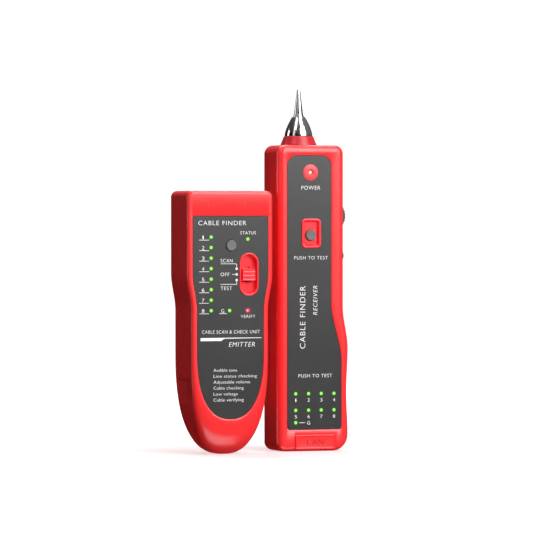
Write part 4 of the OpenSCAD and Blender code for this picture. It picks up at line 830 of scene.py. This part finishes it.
# Probe tip: shank, a nose that narrows with t^1.5, a step, then a needle that flares by e^(-14t) at its root,
# narrows evenly and has a round end
tip = dict(foot=8.3, narrows=4.2, noseHeight=10.6, needle=2.85, flare=0.3, taper=1.85, needleLow=11.6,
           needleHeight=15.7, end=1.0, endHeight=0.7)
foot = caseTop + 5.5
point = foot + tip["needleLow"] + tip["needleHeight"]
tipProfile = [(3, caseTop - 11), (3, foot), (tip["foot"] - 0.2, foot), (tip["foot"], foot + 0.15)]
tipProfile += [(tip["foot"] - tip["narrows"] * t ** 1.5, foot + 0.35 + tip["noseHeight"] * t)
               for t in np.linspace(0, 1, 22)]
tipProfile += [(4.05, foot + 11.15), (3.6, foot + 11.35), (3.2, foot + 11.42)]
tipProfile += [(tip["needle"] + tip["flare"] * math.exp(-t * 14) - tip["taper"] * t,
                foot + tip["needleLow"] + tip["needleHeight"] * t) for t in np.linspace(0, 1, 28)]
tipProfile += [(tip["end"] * math.cos(t), point + tip["endHeight"] * math.sin(t))
               for t in np.radians(np.linspace(10, 86, 7))]
piece(bare("receiverProbeTip", turned(tipProfile, probe["x"], probe["y"], "z", 128), receiverAt),
      "receiver", "probeChrome", ["receiver_probe_tip"], sharp=40)
print("receiver made")


# Words become flat outlines scaled to a capital's height and a width, and are laid on the face. lean slants
# them, upward turns them to read from the bottom, and weight thins or thickens the strokes.
def wordShape(words, x, z, capital, width, y, lean=0.0, upward=False, left=False, thick=0.02, weight=-0.009,
              spread=1.14):
    curve = bpy.data.curves.new("words", "FONT")
    curve.body, curve.resolution_u, curve.extrude = words, 5, 0.01
    curve.offset, curve.space_character = weight, spread
    made = bpy.data.objects.new("words", curve)
    bpy.context.scene.collection.objects.link(made)
    bpy.context.view_layer.update()
    mesh = bpy.data.meshes.new_from_object(made.evaluated_get(bpy.context.evaluated_depsgraph_get()))
    points = np.zeros(len(mesh.vertices) * 3)
    mesh.vertices.foreach_get("co", points)
    points = points.reshape(-1, 3)
    faces = [list(face.vertices) for face in mesh.polygons]
    bpy.data.objects.remove(made)
    bpy.data.meshes.remove(mesh)
    capitalAtOne = 0.729  # height of a capital at size 1
    reach = points[:, 0] - points[:, 0].min()
    up = points[:, 1] / capitalAtOne * capital
    across = reach / reach.max() * width + lean * up - (0 if left else width / 2)
    up -= capital / 2
    if upward:
        across, up = -up, across
    return np.stack([x + across, y - (points[:, 2] > 0) * thick, z + up], 1), faces


def strip(x0, z0, x1, z1, thickness, y, thick=0.02):  # a printed line between two places
    step = np.array([x1 - x0, z1 - z0])
    side = np.array([-step[1], step[0]]) / np.linalg.norm(step) * thickness / 2
    loop = np.array([[x0, z0] - side, [x1, z1] - side, [x1, z1] + side, [x0, z0] + side])
    return stack([atDepth(loop, y - thick), atDepth(loop, y)])


def numbers(places, height, wide, narrow, y):  # 1, 2, 3 ... at the places given; the 1 is narrower
    return [wordShape(str(i + 1), x, z, height, wide if i else narrow, y) for i, (x, z) in enumerate(places)]


def printed(rows, y):  # each row: words, x, z, height of a capital, width, other settings
    return [wordShape(words, x, z, capital, width, y, **other) for words, x, z, capital, width, other in rows]


ink = emitterFace + 0.095
emitterWords = [
    ("CABLE FINDER", -5.0, 135.5, 2.75, 29.6, {}), ("STATUS", 10.9, 129.7, 1.9, 9.6, {}),
    ("SCAN", -6.1, 113.5, 2.2, 7.4, dict(left=True)), ("OFF", -6.1, 105.5, 2.2, 5.4, dict(left=True)),
    ("TEST", -6.1, 97.4, 2.2, 7.0, dict(left=True)), ("VERIFY", 10.9, 80.9, 1.9, 9.0, {}),
    ("CABLE SCAN & CHECK UNIT", 0.3, 71.9, 2.1, 35.8, {}), ("EMITTER", 7.0, 64.6, 2.9, 16.2, dict(lean=0.22)),
    ("G", -4.8, verifyZ - 0.1, 2.3, 1.8, {}),
]
emitterNotes = [  # words and their width
    ("Audible tone", 14.6), ("Line status checking", 26.8), ("Adjustable volume", 22.6),
    ("Cable checking", 18.6), ("Low voltage", 15.0), ("Cable verifying", 18.6)]
emitterLines = [  # from x, z to x, z
    (-6.1, 111.6, 3.3, 111.6), (3.2, 111.7, 3.8, 111.0), (3.8, 111.1, 3.8, 108.7), (0.9, 105.4, 3.8, 105.4),
    (-6.1, 99.6, 3.8, 99.6), (3.8, 99.5, 3.8, 102.1)]
under = dict(drop=1.75, row=(-19.3, -13.3), ground=(-6.9, -2.3), thickness=0.28)  # lines under the numbers
bar = np.array([[-18.5, 66.6], [-5.8, 66.6], [-3.8, 67.9], [19.2, 68.15], [19.2, 68.5], [-18.5, 68.4]])
marks = printed(emitterWords, ink)
marks += numbers([(-16.9, z - 0.1) for x, z in columnPlaces], 2.3, 1.5, 0.75, ink)
for left, right, z in [(*under["row"], z) for x, z in columnPlaces] + [(*under["ground"], verifyZ)]:
    marks += [strip(left, z - under["drop"], right, z - under["drop"], under["thickness"], ink)]
for step in (-1, 0, 1):  # a dot at each of the switch's three places
    marks += [turned([(0.75, ink), (0.75, ink - 0.02)], 3.8, modeSwitch["z"] + step * 3.3, count=32)]
marks += [strip(*ends, 0.26, ink) for ends in emitterLines]
marks += [stack([atDepth(bar, ink - 0.02), atDepth(bar, ink)])]
marks += [wordShape(words, -10.5, 49.6 - row * 3.47, 1.85, width, ink, left=True, spread=1.04)
          for row, (words, width) in enumerate(emitterNotes)]
piece(bare("emitterPrint", together(marks), emitterAt), "emitter", "whiteInk")
# raised letters in the case's plastic, coloured darker as painted shade
marks = [wordShape("TEL", -13.6, 146.2, 3.6, 7.6, emitterFace + 0.02, thick=0.12),
         wordShape("LAN", 7.0, 146.2, 3.6, 9.6, emitterFace + 0.02, thick=0.12)]
piece(bare("emitterSocketMarks", together(marks), emitterAt), "emitter", "redMark")

ink = receiverFace + 0.095
receiverWords = [
    ("POWER", -0.4, 156.3, 2.5, 11.9, {}), ("PUSH TO TEST", -0.3, 114.8, 2.1, 21.2, {}),
    ("CABLE FINDER", -5.7, 79.5, 3.6, 37.0, dict(upward=True)),
    ("RECEIVER", 2.3, 89.5, 2.8, 17.4, dict(lean=0.2, upward=True)),
    ("PUSH TO TEST", 2.4, 44.9, 2.1, 21.2, {}), ("G", -1.8, 17.0, 2.2, 1.9, {}),
]
marks = printed(receiverWords, ink)
marks += [strip(-7.8, 17.1, -4.0, 17.1, 0.28, ink)]
marks += numbers([(x, z - 3.7) for x, z in lampPlaces[:8]], 2.1, 1.4, 0.68, ink)
piece(bare("receiverPrint", together(marks), receiverAt), "receiver", "whiteInk")
# raised letters in the case's plastic, coloured darker as painted shade
mark = wordShape("LAN", panel["x"], panel["z"] + 0.2, 3.6, 10.5, receiverFace - 0.17, thick=0.3)
piece(bare("receiverSocketMark", mark, receiverAt), "receiver", "redMark")
print("marks made")

# Floor and wall as one bowl turned about the middle: flat, a wide quarter-round bend, then upright.
# The sheet glows a little, with painted shade and a painted pink reflection of the red case close round the
# object, from near to far in metres.
room = dict(inner=0.5, radius=6.0, bend=1.5, height=4.5, sides=96, near=0.045, far=0.16,
            shade=(0.62, 0.50, 0.51), glow=(1, 1, 1))
bend = np.radians(np.linspace(0, 90, 24))
quarter = [room["radius"] - room["bend"] * (1 - np.sin(bend)), room["bend"] * (1 - np.cos(bend))]
profile = np.concatenate([[[room["inner"], 0.0]], np.stack(quarter, 1), [[room["radius"], room["height"]]]])
angle = np.linspace(0, 2 * np.pi, room["sides"], endpoint=False)
points = np.stack([np.outer(profile[:, 0], np.cos(angle)), np.outer(profile[:, 0], np.sin(angle)),
                   np.outer(profile[:, 1], np.ones(room["sides"]))], -1)
floorMesh = bpy.data.meshes.new("studioFloor")
faces = gridFaces(len(profile), room["sides"]) + [list(range(room["sides"]))[::-1]]
floorMesh.from_pydata(points.reshape(-1, 3).tolist(), [], faces)
floor = bpy.data.objects.new("studioFloor", floorMesh)
bpy.context.scene.collection.objects.link(floor)
sheet = Shader("studioFloor")
distance = sheet.node("ShaderNodeVectorMath", {"operation": "LENGTH"}, {0: sheet.place()}, "Value")
# near the object the glow's colour is painted shade and a painted pink reflection of the red case
stops = [(room["near"], room["shade"]), (room["far"], room["glow"])]
glow = sheet.node("ShaderNodeValToRGB", {"stops": stops}, {0: distance})
floorMesh.materials.append(sheet.finish({
    "Base Color": sheet.blend(sheet.noise(3), (0.49, 0.49, 0.49), (0.51, 0.51, 0.51)), "Roughness": 0.30,
    "Specular IOR Level": 0.35, "Emission Color": glow, "Emission Strength": 1.0}))
floorMesh.shade_smooth()
floor.visible_diffuse = floor.visible_glossy = floor.visible_shadow = False  # it throws no light back

# The room around: dim, a little lighter above and to the right
sky = dict(dim=0.03, above=0.22, right=0.10)
bpy.context.scene.world = bpy.data.worlds.new("studio")
air = Shader("studio", bpy.context.scene.world)
toward = air.node("ShaderNodeTexCoord", output="Generated")
clamped = {"operation": "MULTIPLY_ADD", "use_clamp": True}
rise = air.node("ShaderNodeSeparateXYZ", {}, {0: toward}, "Z")
side = air.node("ShaderNodeSeparateXYZ", {}, {0: toward}, "X")
fromAbove = air.node("ShaderNodeMath", clamped, {0: rise, 1: sky["above"], 2: sky["dim"]})
brightness = air.node("ShaderNodeMath", clamped, {0: side, 1: sky["right"], 2: fromAbove})
background = air.node("ShaderNodeBackground", {}, {"Color": (1, 1, 1, 1), "Strength": brightness})
air.node("ShaderNodeOutputWorld", {}, {"Surface": background})

# Soft panels: each one's place as degrees round from the front and above level, its distance, size and power
aim = Vector((0.0, 0.0, 0.10))
panels = dict(
    key=dict(round=24, above=26, away=1.1, size=(0.8, 0.75), power=14.2),
    above=dict(round=24, above=62, away=1.1, size=(0.45, 0.6), power=4.2),
    below=dict(round=-8, above=-58, away=1.0, size=(0.9, 0.5), power=4.5),
    left=dict(round=-54, above=52, away=1.2, size=(0.42, 0.5), power=1.7),
    strip=dict(round=-60, above=18, away=1.2, size=(0.34, 0.9), power=1.1),
    rim=dict(round=-118, above=8, away=1.2, size=(0.3, 0.9), power=3.0),
    back=dict(round=174, above=58, away=1.3, size=(1.2, 0.5), power=12.0),
)
for name, light in panels.items():
    lamp = bpy.data.lights.new(name, "AREA")
    lamp.shape, lamp.size, lamp.size_y, lamp.energy = "RECTANGLE", *light["size"], light["power"]
    holder = bpy.data.objects.new(name, lamp)
    turn, lift = math.radians(light["round"]), math.radians(light["above"])
    toward = Vector((math.sin(turn) * math.cos(lift), -math.cos(turn) * math.cos(lift), math.sin(lift)))
    holder.location = aim + light["away"] * toward
    holder.rotation_euler = (aim - holder.location).to_track_quat("-Z", "Y").to_euler()
    holder.visible_diffuse = name != "rim"  # the rim panel only shows as a reflection
    bpy.context.scene.collection.objects.link(holder)

# The camera looks from the left of the pair, nearly level, through a long lens
shot = dict(yaw=20.0, pitch=-0.79, height=0.14, emitterDistance=2.549, emitterLeft=0.0314, lens=284.3,
            sensor=36.0)
yaw, pitch = math.radians(shot["yaw"]), math.radians(shot["pitch"])
ahead, across = Vector((math.sin(yaw), math.cos(yaw), 0)), Vector((math.cos(yaw), -math.sin(yaw), 0))
start = Vector((*(emitterAt[:2] * mm), 0)) - ahead * shot["emitterDistance"] + across * shot["emitterLeft"]
look = ahead * math.cos(pitch) + Vector((0, 0, math.sin(pitch)))
camera = bpy.data.objects.new("camera", bpy.data.cameras.new("camera"))
camera.location = (start.x, start.y, shot["height"])
camera.rotation_euler = look.to_track_quat("-Z", "Y").to_euler()
camera.data.lens, camera.data.sensor_width = shot["lens"], shot["sensor"]
bpy.context.scene.collection.objects.link(camera)
bpy.context.scene.camera = camera
bpy.context.scene.view_settings.view_transform = "Standard"
print("room, lights and camera made")
